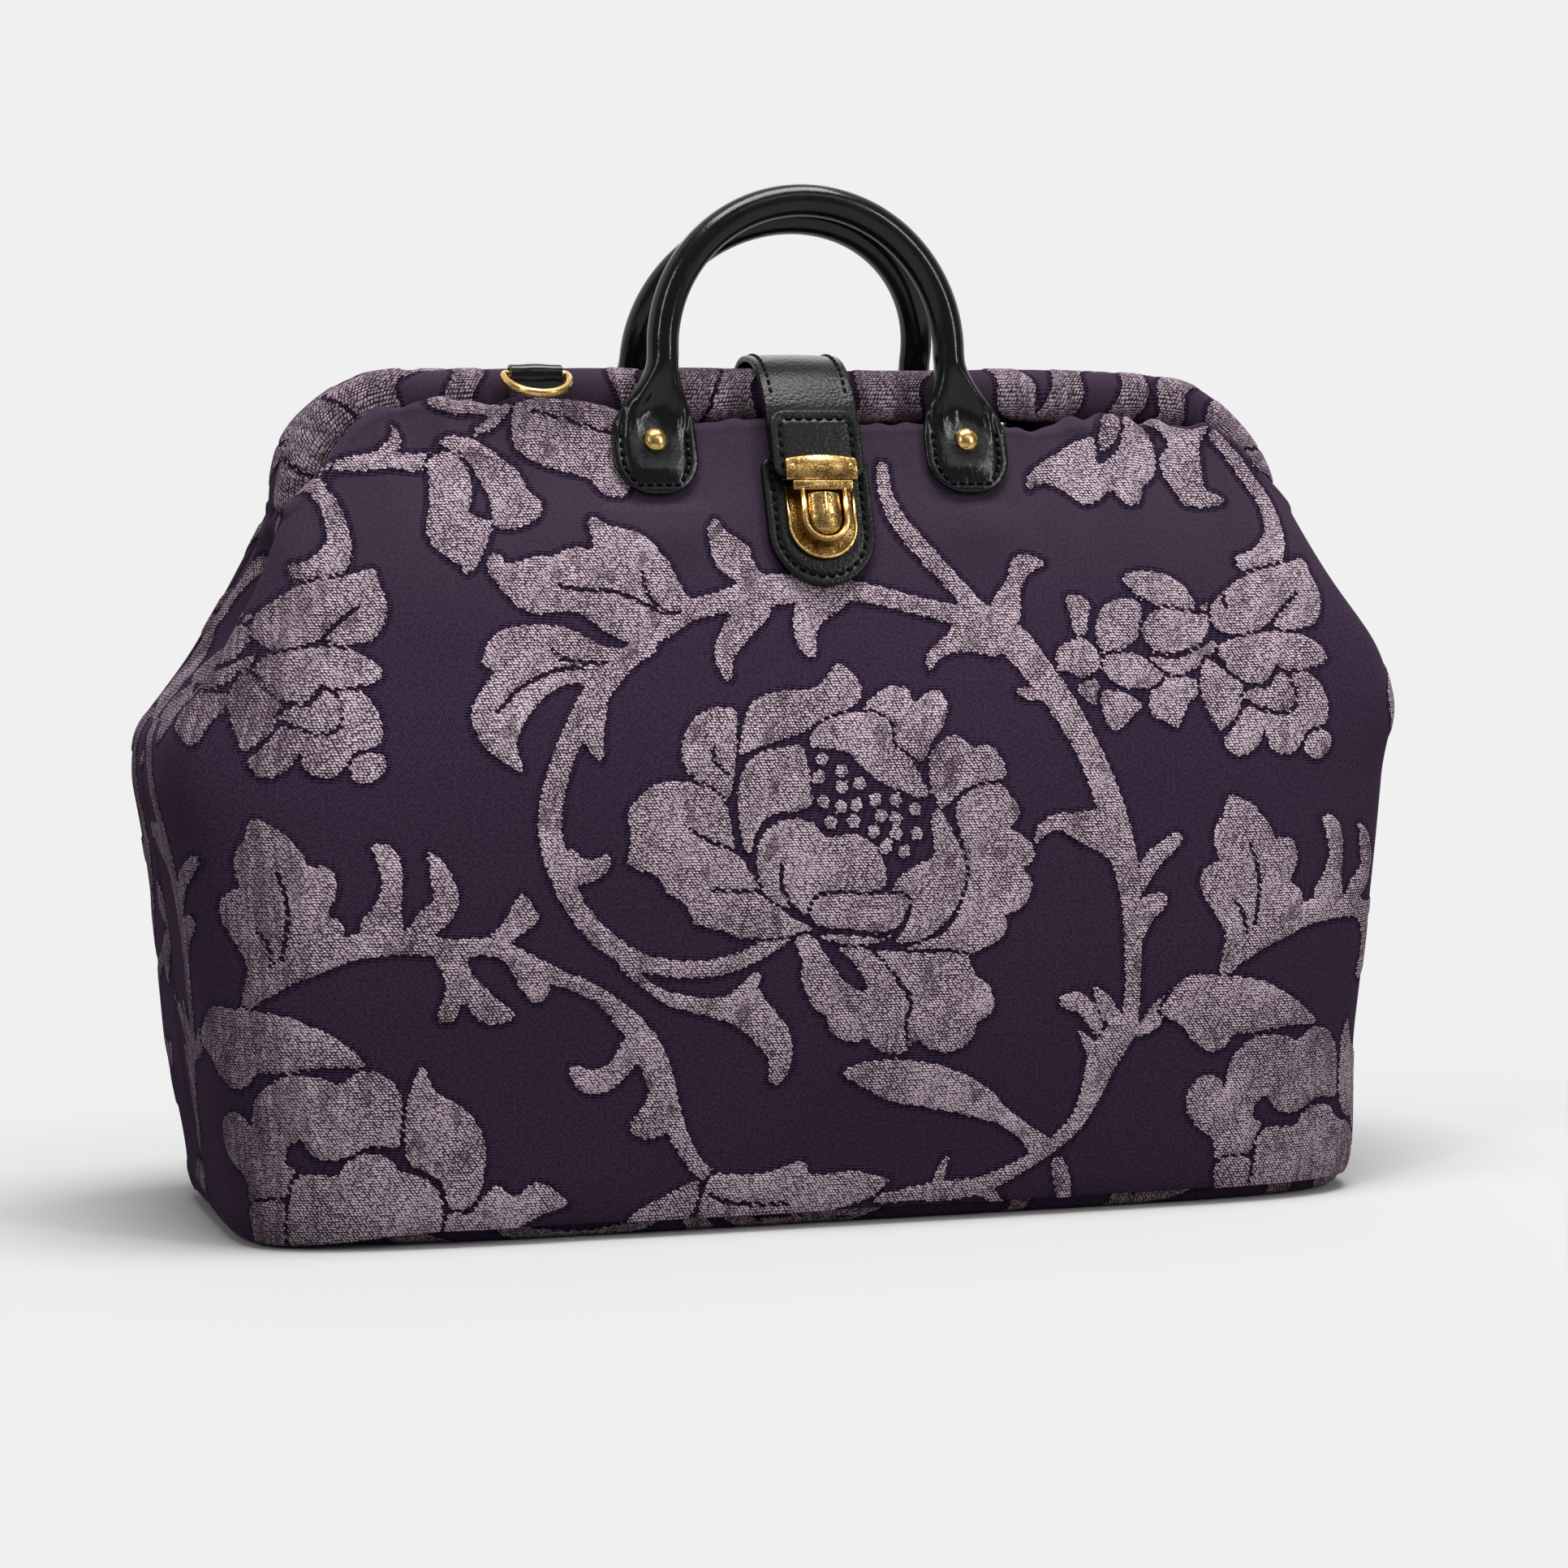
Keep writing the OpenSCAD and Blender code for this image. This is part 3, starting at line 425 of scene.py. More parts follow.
# %% Petals, as outlines in the order they are laid
PETALS = [
    "906 878 888 873 870 876 854 886 842 906 837 930 844 950 860 964 876 974 896 985 904 952 906 912",
    "912 930 912 908 918 884 926 866 944 856 972 850 998 849 1016 838 1026 822 1038 818 1052 830 1062 848 1058 864 "
    "1044 874 1020 886 998 898 980 906 956 914 932 922",
    "1064 872 1074 860 1090 848 1104 845 1118 850 1126 866 1134 860 1144 852 1158 852 1166 864 1166 880 1160 898 "
    "1146 916 1140 932 1132 940 1120 930 1104 920 1100 900 1090 882 1076 876",
    "1000 920 998 908 1008 894 1028 884 1052 878 1076 880 1094 888 1098 908 1100 924 1116 932 1130 952 1140 972 "
    "1142 982 1124 982 1104 972 1084 966 1068 952 1056 940 1044 928 1020 923",
    "912 1024 908 992 910 964 918 944 936 928 960 922 980 918 990 924 996 948 998 976 1000 992 980 1000 956 1002 "
    "940 1012 930 1030 926 1048 918 1050",
    "778 992 804 968 836 964 868 972 892 990 900 1016 906 1048 918 1064 930 1084 940 1100 956 1116 976 1132 996 1140 "
    "998 1149 972 1154 940 1156 908 1156 892 1148 876 1144 856 1138 848 1120 836 1108 822 1102 814 1088 804 1078 "
    "786 1072 772 1062 776 1040 774 1020 772 1004",
    "1144 964 1143 940 1150 922 1170 907 1186 911 1198 921 1214 917 1228 927 1238 946 1236 960 1216 967 1192 970 "
    "1176 982 1166 994 1158 994 1150 982",
    "1176 1000 1184 984 1204 970 1232 968 1250 988 1256 1000 1246 1018 1232 1021 1252 1024 1272 1044 1272 1060 "
    "1260 1072 1270 1084 1268 1104 1256 1120 1238 1128 1240 1142 1232 1156 1212 1168 1192 1176 1172 1172 1148 1170 "
    "1124 1172 1116 1168 1144 1158 1164 1148 1180 1124 1188 1100 1191 1076 1188 1048 1182 1024",
    "1002 1156 1016 1176 1032 1200 1048 1216 1066 1220 1062 1204 1048 1184 1032 1168 1052 1166 1072 1172 1090 1192 "
    "1104 1212 1112 1224 1118 1240 1112 1260 1114 1276 1116 1292 1104 1298 1088 1296 1076 1290 1064 1278 1052 1284 "
    "1036 1280 1020 1268 1016 1252 1004 1244 994 1228 986 1204 988 1184 980 1160 988 1152",
    "1076 1172 1092 1171 1116 1174 1140 1174 1172 1174 1192 1180 1200 1200 1216 1212 1224 1232 1220 1248 1204 1258 "
    "1198 1276 1184 1290 1164 1296 1144 1292 1126 1280 1120 1290 1117 1276 1116 1256 1123 1240 1120 1224 "
    "1108 1208 1092 1188",
    "1152 996 1160 1004 1172 1024 1184 1048 1189 1076 1184 1100 1176 1120 1160 1140 1144 1152 1124 1160 1100 1162 "
    "1108 1152 1118 1132 1122 1112 1112 1100 1100 1098 1100 1088 1112 1076 1132 1064 1148 1056 1148 1032 1146 1008",
    "934 1076 932 1056 936 1036 948 1020 968 1010 988 1010 1004 1016 1016 1032 1032 1030 1052 1029 1072 1040 1084 1056 "
    "1090 1076 1086 1094 1060 1100 1032 1098 1012 1102 1000 1116 992 1128 980 1120 964 1116 948 1108 940 1096",
    "1008 1151 1040 1153 1084 1155 1096 1153 1076 1162 1048 1164 1024 1160",
    "998 1124 1008 1106 1032 1102 1060 1104 1084 1102 1108 1103 1118 1111 1114 1124 1104 1142 1084 1148 1052 1145 "
    "1020 1143 1004 1138",
    "1313 736 1327 734 1342 745 1340 763 1336 783 1322 780 1318 758",
    "1300 807 1313 792 1336 789 1354 807 1358 821 1336 834 1318 830 1305 825",
    "1327 848 1345 838 1358 852 1358 870 1340 865", "1358 852 1394 858 1407 870 1394 884 1380 899 1367 897 1358 878",
    "1416 866 1425 843 1452 832 1472 836 1488 826 1500 806 1503 830 1490 850 1470 862 1461 880 1452 897 "
    "1434 888 1421 880",
    "1383 711 1403 705 1430 707 1456 718 1470 736 1474 749 1456 754 1434 749 1421 745 1403 736 1387 722",
    "1349 772 1358 749 1380 738 1403 743 1407 763 1403 785 1380 801 1363 807 1351 794",
    "1358 825 1363 809 1389 805 1407 809 1425 821 1434 834 1416 848 1394 848 1372 843",
    "1407 772 1421 754 1443 751 1470 756 1490 758 1490 776 1479 794 1452 803 1425 803 1410 789",
    "1416 809 1447 812 1474 803 1497 789 1501 798 1479 821 1452 830 1434 825",
    "304 839 311 831 326 842 341 857 355 868 352 886 344 905 330 919 315 927 304 905 297 883 297 857",
    "420 853 440 850 459 864 470 886 473 908 466 921 443 927 432 943 420 958 401 959 385 949 379 927 370 945 355 958 "
    "337 960 324 949 321 938 333 927 348 908 357 896 377 903 403 908 423 902 428 883",
    "352 883 370 872 388 872 407 850 421 872 423 890 414 901 399 903 377 896 363 888",
    "326 817 355 804 399 797 436 801 462 815 472 830 465 841 440 846 414 848 403 842 385 864 370 866 350 857 335 839",
    "319 769 326 754 355 732 385 718 421 710 454 701 464 703 469 721 478 743 475 765 462 787 440 793 418 795 399 787 "
    "381 795 355 800 333 797 322 787",
    "436 952 443 934 462 929 476 934 476 952 462 965 447 965",
    "539 547 557 538 583 542 608 556 634 578 652 608 667 622 660 641 634 652 608 650 605 633 601 611 586 586 568 560",
    "528 566 550 558 566 566 577 586 580 608 579 633 601 643 604 655 597 677 586 699 575 709 564 699 546 685 528 666 "
    "524 648 528 626 528 597",
    "1269 602 1269 584 1287 568 1305 557 1327 544 1348 542 1350 571 1358 571 1376 555 1383 517 1398 513 1412 530 "
    "1423 557 1423 584 1407 602 1403 620 1385 624 1367 606 1354 617 1336 622 1318 611 1300 600 1282 595",
    "1407 515 1430 535 1443 548 1430 562 1434 584 1447 602 1461 620 1483 624 1510 620 1501 609 1488 602 1483 575 "
    "1481 548 1488 526 1465 524 1443 517 1421 510",
    "1352 540 1356 520 1374 512 1378 530 1366 552 1356 558",
    "251 1261 271 1251 312 1253 353 1255 385 1265 418 1281 446 1302 456 1316 418 1318 385 1322 353 1328 328 1330 "
    "316 1346 296 1352 271 1338 255 1318 231 1306 227 1293 239 1277",
    "324 1363 349 1338 373 1330 406 1332 426 1338 450 1322 475 1326 495 1346 499 1375 497 1403 491 1415 458 1415 "
    "434 1428 410 1434 389 1428 377 1411 361 1420 357 1440 369 1448 361 1472 349 1485 324 1489 304 1493 300 1468 "
    "275 1448 263 1428 267 1399 288 1383 308 1387 316 1399",
    "507 1350 515 1326 523 1314 534 1338 544 1350 568 1363 589 1387 599 1415 597 1448 589 1476 568 1493 552 1485 "
    "548 1464 532 1448 507 1436 501 1407 503 1375",
    "548 1499 580 1495 597 1474 613 1460 629 1472 641 1472 658 1458 678 1462 700 1483 678 1493 650 1507 629 1521 "
    "597 1533 552 1540",
    "304 1501 328 1491 353 1493 355 1513 357 1546 312 1556 306 1529",
    "365 1464 381 1452 418 1452 430 1436 454 1424 479 1428 495 1444 523 1452 540 1468 546 1493 540 1535 507 1540 "
    "450 1545 393 1550 365 1552 357 1529 359 1497",
    "874 1451 896 1447 933 1447 963 1438 989 1430 1000 1447 1027 1445 1056 1443 1090 1451 1094 1456 1075 1473 "
    "1045 1486 1008 1496 971 1505 933 1512 896 1516 866 1514 859 1499",
]
PETAL_VEINS = [
    "876 924 880 940 896 956", "848 1024 872 1036 906 1050 924 1064", "880 1097 910 1098 936 1100",
    "964 1064 962 1080 966 1100 980 1120", "403 784 421 765 443 747", "338 752 341 765",
    "874 1470 896 1481 933 1484 971 1483", "566 562 580 588 584 610 578 632",
]
SEEDS = numbers("1012 936 1008 958 1036 950 1036 970 1058 966 1014 988 1035 995 1054 992 1076 986 1102 986 1126 998 "
                "1023 1014 1050 1013 1084 1006 1102 1009 1075 1025 1102 1028 1128 1028 1090 1044 1112 1050", 2)
print("drawn:", len(VINES), "vines,", len(LEAVES), "leaves,", len(PETALS), "petals,", len(SEEDS), "seeds")

# %% [markdown]
# ### From drawing to depth
# A drawing becomes one number for every point of the cloth: how far inside the nearest motif edge it
# lies, in millimetres, and below zero outside. A smooth field like that stays crisp when it is read
# between the points of a mesh, and it also gives the width of the woven outline.

# %% Depth inside the motifs
REPEAT, PART_LINE, FAR, SEED_R = 336.0, 1.25, 6.0, 2.25
SHEET_UNIT, VEIN_HALF, MARGIN, BLOCK = 0.285, 0.75, 9, 1500000


def edge_distance(spots, a, b):
    run = b - a
    rel = spots[:, None] - a[None]
    t = np.clip((rel * run).sum(-1) / np.maximum((run * run).sum(-1), 1e-9), 0, 1)
    return np.linalg.norm(rel - t[..., None] * run, axis=-1), t


def outline_depth(spots, ring):
    a, b = ring, np.roll(ring, -1, 0)
    near = edge_distance(spots, a, b)[0].min(1)
    x, y = spots[:, :1], spots[:, 1:]
    rise_b = np.where(np.abs(b[:, 1] - a[:, 1]) < 1e-9, 1e-9, b[:, 1] - a[:, 1])
    hits = ((a[:, 1] > y) != (b[:, 1] > y)) & (x < (b[:, 0] - a[:, 0]) * (y - a[:, 1]) / rise_b + a[:, 0])
    return np.where(hits.sum(1) % 2 == 1, near, -near)


def stroke_depth(spots, line, half):
    near, t = edge_distance(spots, line[:-1], line[1:])
    return (half[:-1] + (half[1:] - half[:-1]) * t - near).max(1)


def drawn_line(text, each):
    line = curve(numbers(text, each), False)
    half = line[:, 2] * SHEET_UNIT if each == 3 else np.full(len(line), VEIN_HALF)
    return on_cloth(line[:, :2]), half


def drawn_ring(text):
    return on_cloth(curve(numbers(text, 2), True)), None


MOTIFS = ([("join", *drawn_line(v, 3)) for v in VINES] + [("join", *drawn_ring(v)) for v in LEAVES]
          + [("cut", *drawn_line(v, 2)) for v in VEINS] + [("lay", *drawn_ring(v)) for v in PETALS]
          + [("cut", *drawn_line(v, 2)) for v in PETAL_VEINS])
seed_spots = on_cloth(SEEDS)


def motif_depth(across, up):
    spots = np.column_stack([np.ravel(across), np.ravel(up)])
    depth = np.full(len(spots), -FAR)
    first, last = spots[:, 0].min() / REPEAT, spots[:, 0].max() / REPEAT
    shifts = range(math.floor(first - 0.8), math.ceil(last + 0.8) + 1)
    for kind, line, half in MOTIFS:
        low, high = line.min(0) - MARGIN, line.max(0) + MARGIN
        for shift in shifts:
            moved = spots - (shift * REPEAT, 0)
            near = np.flatnonzero(((moved >= low) & (moved <= high)).all(1))
            for part in np.array_split(near, max(1, len(near) * len(line) // BLOCK)):
                if not len(part):
                    continue
                d = outline_depth(moved[part], line) if half is None else stroke_depth(moved[part], line, half)
                old = depth[part]
                depth[part] = {"join": np.maximum(old, d), "cut": np.minimum(old, -d),
                               "lay": np.maximum(d, np.minimum(old, -(d + PART_LINE)))}[kind]
    for shift in shifts:
        for spot in seed_spots:
            d = SEED_R - np.hypot(spots[:, 0] - shift * REPEAT - spot[0], spots[:, 1] - spot[1])
            near = d > -4
            depth[near] = np.maximum(depth[near], d[near])
    return np.clip(depth, -FAR, FAR).reshape(np.shape(across))


print("motif depth at the flower's heart", motif_depth(*on_cloth([[1030, 1065]]).T).round(2))

# %% [markdown]
# ## Meshes
# A sheet is a grid of points, and a strap or a tube is a row of rings. These helpers turn both into
# Blender pieces and carry along what the finish needs: cloth coordinates and the motif depth.

# %% Mesh helpers
def unit(runs, least=1e-9):
    return runs / np.maximum(np.linalg.norm(runs, axis=-1, keepdims=True), least)


def grid_faces(rows, cols, wrap=False):
    i, j = np.meshgrid(np.arange(rows - 1), np.arange(cols if wrap else cols - 1), indexing="ij")
    a, b = i * cols + j, i * cols + (j + 1) % cols
    return np.stack([a, b, b + cols, a + cols], -1).reshape(-1, 4)


def capped_faces(rows, cols):
    caps = [list(range(cols))[::-1], list(range((rows - 1) * cols, rows * cols))]
    return grid_faces(rows, cols, True).tolist() + caps


def face_out(mesh, weld=False):
    work = bmesh.new()
    work.from_mesh(mesh)
    if weld:
        bmesh.ops.remove_doubles(work, verts=work.verts, dist=1e-6)
    bmesh.ops.recalc_face_normals(work, faces=work.faces)
    work.to_mesh(mesh)
    work.free()


def make_piece(name, points, faces, finish, marks=None, cloth=None, tidy=False):
    mesh = bpy.data.meshes.new(name)
    mesh.from_pydata((np.reshape(points, (-1, 3)) * MM).tolist(), [], [list(map(int, f)) for f in faces])
    mesh.materials.append(finish)
    if tidy:
        face_out(mesh, weld=True)
    mesh.polygons.foreach_set("use_smooth", np.ones(len(mesh.polygons), bool))
    for key, values in (marks or {}).items():
        mesh.attributes.new(key, "FLOAT", "POINT").data.foreach_set("value", np.ravel(values).astype(np.float32))
    if cloth is not None:
        corner = np.zeros(len(mesh.loops), np.int32)
        mesh.loops.foreach_get("vertex_index", corner)
        flat = np.reshape(cloth, (-1, 2))[corner] * MM
        mesh.uv_layers.new(name="cloth").data.foreach_set("uv", flat.astype(np.float32).ravel())
    mesh.update()
    made = bpy.data.objects.new(name, mesh)
    bpy.context.scene.collection.objects.link(made)
    return made


def outward(points):
    return unit(np.cross(np.gradient(points, axis=1), np.gradient(points, axis=0)))


def tube(name, rings, finish, closed=False):
    rows, cols = rings.shape[:2]
    faces = grid_faces(rows + 1, cols, True) % (rows * cols) if closed else capped_faces(rows, cols)
    return make_piece(name, rings, faces, finish, tidy=True)


def area_of(piece):
    return sum(f.area for f in piece.data.polygons)


# %% [markdown]
# ## Carpet cloth finish
# Two weaves share the cloth. The ground is a fine satin with a faint diagonal twill and a soft sheen, and it
# is painted paler and greyer towards the mouth: a painted sheen, where the slope faces the overhead light. The
# pile is thousands of cut loops, each a little lighter or darker than the next and painted darker between the
# loops as shade, and crushed into upright streaks where the bag is handled. The pile is also painted darker at
# the left end and in the tucks, as shade where the cloth turns away from the light. A cellular texture gives
# each loop its own tone and a jagged motif edge one loop wide, and ribs mark the woven outline. Just outside
# each motif edge the ground is painted darker as the shadow of the raised pile.

# %% Cloth finish
def cloth_finish(name):
    made, t = new_finish(name)
    uv = add(t, "UVMap", {"uv_map": "cloth"}).outputs[0]
    depth = add(t, "Attribute", {"attribute_name": "pile"}).outputs["Fac"]
    crush_and_shade = add(t, "Attribute", {"attribute_name": "crush_and_shade"}).outputs["Fac"]
    part = add(t, "SeparateXYZ", Vector=uv)
    u, v = part.outputs[0], part.outputs[1]

    def slant(along_u, along_v):
        return mul_add(t, u, along_u, mul(t, v, along_v))

    rows = mul(t, v, 1120.0)
    brick = add(t, "CombineXYZ", X=mul_add(t, u, 860.0, mul(t, rows, 0.5)), Y=rows)
    loops = add(t, "TexVoronoi", {"voronoi_dimensions": "2D"}, Vector=brick.outputs[0], Scale=1.0, Randomness=0.4)
    tone = add(t, "SeparateColor", Color=loops.outputs["Color"])
    tooth = mul_add(t, calc(t, "PINGPONG", slant(255.0, 370.0), 0.5), 1.15, -0.3)
    jag = calc(t, "ADD", tooth, mul_add(t, tone.outputs[0], 0.5, -0.25))
    pile = fade(t, calc(t, "ADD", depth, jag), -0.1, 0.1)
    # Painted shade: each loop is painted lighter on its top and darker towards its rim and between loops. The same dome
    # also raises the bump.
    loop_dome_and_shade = fade(t, loops.outputs["Distance"], 0.1, 0.56, 1.0, 0.0)
    streak = noise(t, uv, 1.0, 3.0, (330.0, 30.0, 1.0), flat=True)
    worn = mul_add(t, crush_and_shade, 0.16, calc(t, "SUBTRACT", streak, 0.08))
    pressed = mul(t, fade(t, worn, 0.44, 0.63), crush_and_shade)
    spot = noise(t, uv, 1.0, 4.0, (130.0, 75.0, 1.0), flat=True)
    pressed = calc(t, "MAXIMUM", pressed, fade(t, mul_add(t, crush_and_shade, 0.05, spot), 0.61, 0.71, 0.0, 0.8))
    broad = noise(t, uv, 42.0, 3.0, flat=True)
    bright = mul_add(t, loop_dome_and_shade, 0.72, mul(t, tone.outputs[1], 0.34))
    bright = calc(t, "ADD", bright, mul_add(t, broad, 0.5, -0.24))
    tuft = two_tone(t, fade(t, bright, 0.1, 0.95), (0.048, 0.029, 0.041), (0.75, 0.595, 0.685))
    # Painted shade and crushed pile: where this mark is high (left end, tucked ends, base) the pile is painted much
    # darker, standing in for shade.
    shade_and_crush_dark = mul(t, mul(t, crush_and_shade, crush_and_shade), 0.45)
    tuft = two_tone(t, calc(t, "MAXIMUM", shade_and_crush_dark, mul(t, pressed, 0.72)), tuft, (0.04, 0.024, 0.035))
    twill = calc(t, "SINE", slant(6200.0, 3600.0))
    rib = calc(t, "SINE", slant(420.0, 6700.0))
    dash = calc(t, "SINE", slant(2300.0, -900.0))
    fleck = noise(t, uv, 950.0, 2.0, flat=True)
    weave = mul_add(t, twill, 0.3, mul_add(t, fleck, 1.05, -0.02))
    ground = two_tone(t, weave, (0.0155, 0.0083, 0.0184), (0.0565, 0.033, 0.0638))
    # Painted sheen: from 0.19 m up the ground is painted paler and greyer. It stands in for the satin's sheen on the
    # slope that faces the overhead light.
    level = add(t, "SeparateXYZ", Vector=object_place(t)).outputs[2]
    ground = two_tone(t, fade(t, level, 0.19, 0.25, 0.0, 0.26), ground, (0.085, 0.066, 0.084))
    outline = mul(t, fade(t, depth, -2.3, -1.7), 0.9)
    thread = mul_add(t, rib, 0.4, mul_add(t, dash, 0.15, 0.42))
    ribbed = two_tone(t, thread, (0.006, 0.003, 0.0085), (0.052, 0.033, 0.07))
    ground = two_tone(t, outline, ground, ribbed)
    shade = mul(t, fade(t, calc(t, "ADD", depth, jag), -0.8, -0.1), 0.78)
    ground = two_tone(t, shade, ground, (0.003, 0.0015, 0.004))
    height = calc(t, "ADD", mul(t, pile, mul_add(t, loop_dome_and_shade, 0.5, 0.9)),
                  mul_add(t, twill, 0.05, mul(t, mul(t, rib, outline), 0.16)))
    bump = add(t, "Bump", Strength=0.75, Distance=0.0006, Height=height)
    close_finish(t, Base_Color=two_tone(t, pile, ground, tuft), Roughness=fade(t, pile, 0.0, 1.0, 0.58, 0.9),
                 Normal=bump.outputs[0], Specular_IOR_Level=0.0, Sheen_Weight=0.085, Sheen_Roughness=0.45,
                 Sheen_Tint=(0.66, 0.5, 0.74, 1.0))
    return made


carpet = cloth_finish("carpet_cloth")
print("finish:", carpet.name, len(carpet.node_tree.nodes), "nodes")

# %% [markdown]
# ## Front and back of the body
# Each side is cut in one length, from the hem that turns under the base, up the wall and over the belly,
# to the ridge that is folded in beside the frame. At the ends the cloth above the belly is tucked, so
# the side curls round a fold edge there. Cloth simulation would lose the fine grid that carries the
# flowers, so the sag, the gathers and the dents are pushed in point by point.

# %% Columns and rows of a side
fine = np.linspace(-1, 1, 4001)
belly_x, belly_y = wall(fine, np.full(len(fine), float(BELLY_Z)))
arc = np.concatenate([[0], np.cumsum(np.hypot(np.diff(belly_x), np.diff(belly_y)))])
COLS, WALL_ROWS, FOOT_Z, RIDGE_UP, FOLD_R = 411, 196, 4.0, 4.2, 3.2
S = np.interp(np.linspace(0, arc[-1], COLS), arc, fine)


def ridge_line(x):
    d, lim = np.maximum(0, np.abs(x) - CORNER_X), CORNER_IN * 0.94
    bend = np.sqrt(CORNER_IN ** 2 - np.minimum(d, lim) ** 2) - np.maximum(0, d - lim) * 1.1
    return BOW_Z - BOW_R + bend


def side_ripple(x, seed):
    return (np.sin(x / 5.3 + seed) + 0.7 * np.sin(x / 3.1 + 2.1 * seed) + 0.8 * np.sin(x / 9.7 - seed)) / 2.5


def ridge_lift(x, back):
    if back:
        return 1.0 + 1.2 * side_ripple(x, 4.0)
    left = 7.2 * smooth((-54 - x) / 20) * smooth((x + 178) / 30)
    middle = 2.2 * smooth((30 - np.abs(x + 12)) / 30)
    right = 1.6 * np.exp(-((x - 118) / 16) ** 2) - 0.8 * np.exp(-((x - 75) / 20) ** 2)
    ring = 2.0 * np.exp(-((x + 93) / 15) ** 2)
    return left + middle + right + ring + 1.2 * side_ripple(x, 1.0) * smooth((np.abs(x) - 20) / 40)


def side_points(back):
    s = np.clip(S, -EDGE_S, EDGE_S)
    top_x = wall(s, ridge_line(wall(s, np.full(COLS, float(RIDGE_Z)))[0]))[0]
    high = ridge_line(top_x) - RIDGE_UP + ridge_lift(top_x, back)
    foot_x = wall(S, np.full(COLS, FOOT_Z))[0]
    foot = 5.2 + 0.5 * np.sin(foot_x / 60) if back else 1.6 + 4.4 * smooth((foot_x + 192) / 60)
    z = foot + (high - foot) * np.linspace(0, 1, WALL_ROWS)[:, None]
    x, y = wall(np.broadcast_to(S, z.shape), z)
    edge_x, edge_y = wall(np.broadcast_to(s, z.shape), z)
    step_x, step_y = wall(np.broadcast_to(s * 1.004, z.shape), z)
    run = np.hypot(step_x - edge_x, step_y - edge_y) + 1e-9
    tx, ty = (step_x - edge_x) / run, (step_y - edge_y) / run
    spare = np.maximum(0, np.abs(S) - EDGE_S) / (1 - EDGE_S) * 13
    turn = np.minimum(spare / FOLD_R, 2.7)
    slide, sink = FOLD_R * np.sin(turn), FOLD_R * (1 - np.cos(turn)) + np.maximum(0, spare - 8.6)
    curl_x = edge_x + slide * tx - sink * np.sign(S) * np.abs(ty)
    curl_y = edge_y + slide * ty + sink * np.abs(tx) * 0.3
    tucked = smooth((z - BELLY_Z - 1) / 26) * (spare > 0)
    x, y = x + (curl_x - x) * tucked, y + (curl_y - y) * tucked
    wall_part = np.stack([x, y, z], -1)
    tip, half = wall_part[-1], (-(CASING_Y + 0.4) - wall_part[-1, :, 1]) / 2
    over = [np.stack([tip[:, 0], tip[:, 1] + half * (1 - math.cos(f)), tip[:, 2] + RIDGE_UP * math.sin(f)], -1)
            for f in np.linspace(0, math.pi, 15)[1:]]
    tail = [over[-1] - (0, 0, d) for d in (1.3, 2.8, 4.4, 6.0)]
    low = wall_part[0]
    inner = np.stack([*wall(S, np.full(COLS, FOOT_Z), 9.0), foot + 2.5], -1)
    under = [low + (inner - low) * t - (0, 0, 1.2 * math.sin(math.pi * t)) for t in (1.0, 0.72, 0.45, 0.2)]
    return np.array(under + list(wall_part) + over + tail), len(under)


front_points, UNDER = side_points(False)
print("front sheet:", front_points.shape[:2], "points")

# %% [markdown]
# ### Sag, gathers and dents
# Slow swells make the wall look filled. Short upright gathers run down from the ridge where the cloth is
# drawn on to the frame. The leather presses the cloth flat, and leaves soft hollows beside it.

# %% Push the cloth point by point
TILT = math.atan2((BELLY_D - RIDGE_D) / 2, RIDGE_Z - BELLY_Z)
HANDLE_X, ARCH_R = 56.0, 51.5


def pressed_by(x, z, x0, x1, z0, z1, soft):
    gap = np.hypot(np.maximum(np.maximum(x0 - x, x - x1), 0), np.maximum(np.maximum(z0 - z, z - z1), 0))
    return smooth(1 - gap / soft)


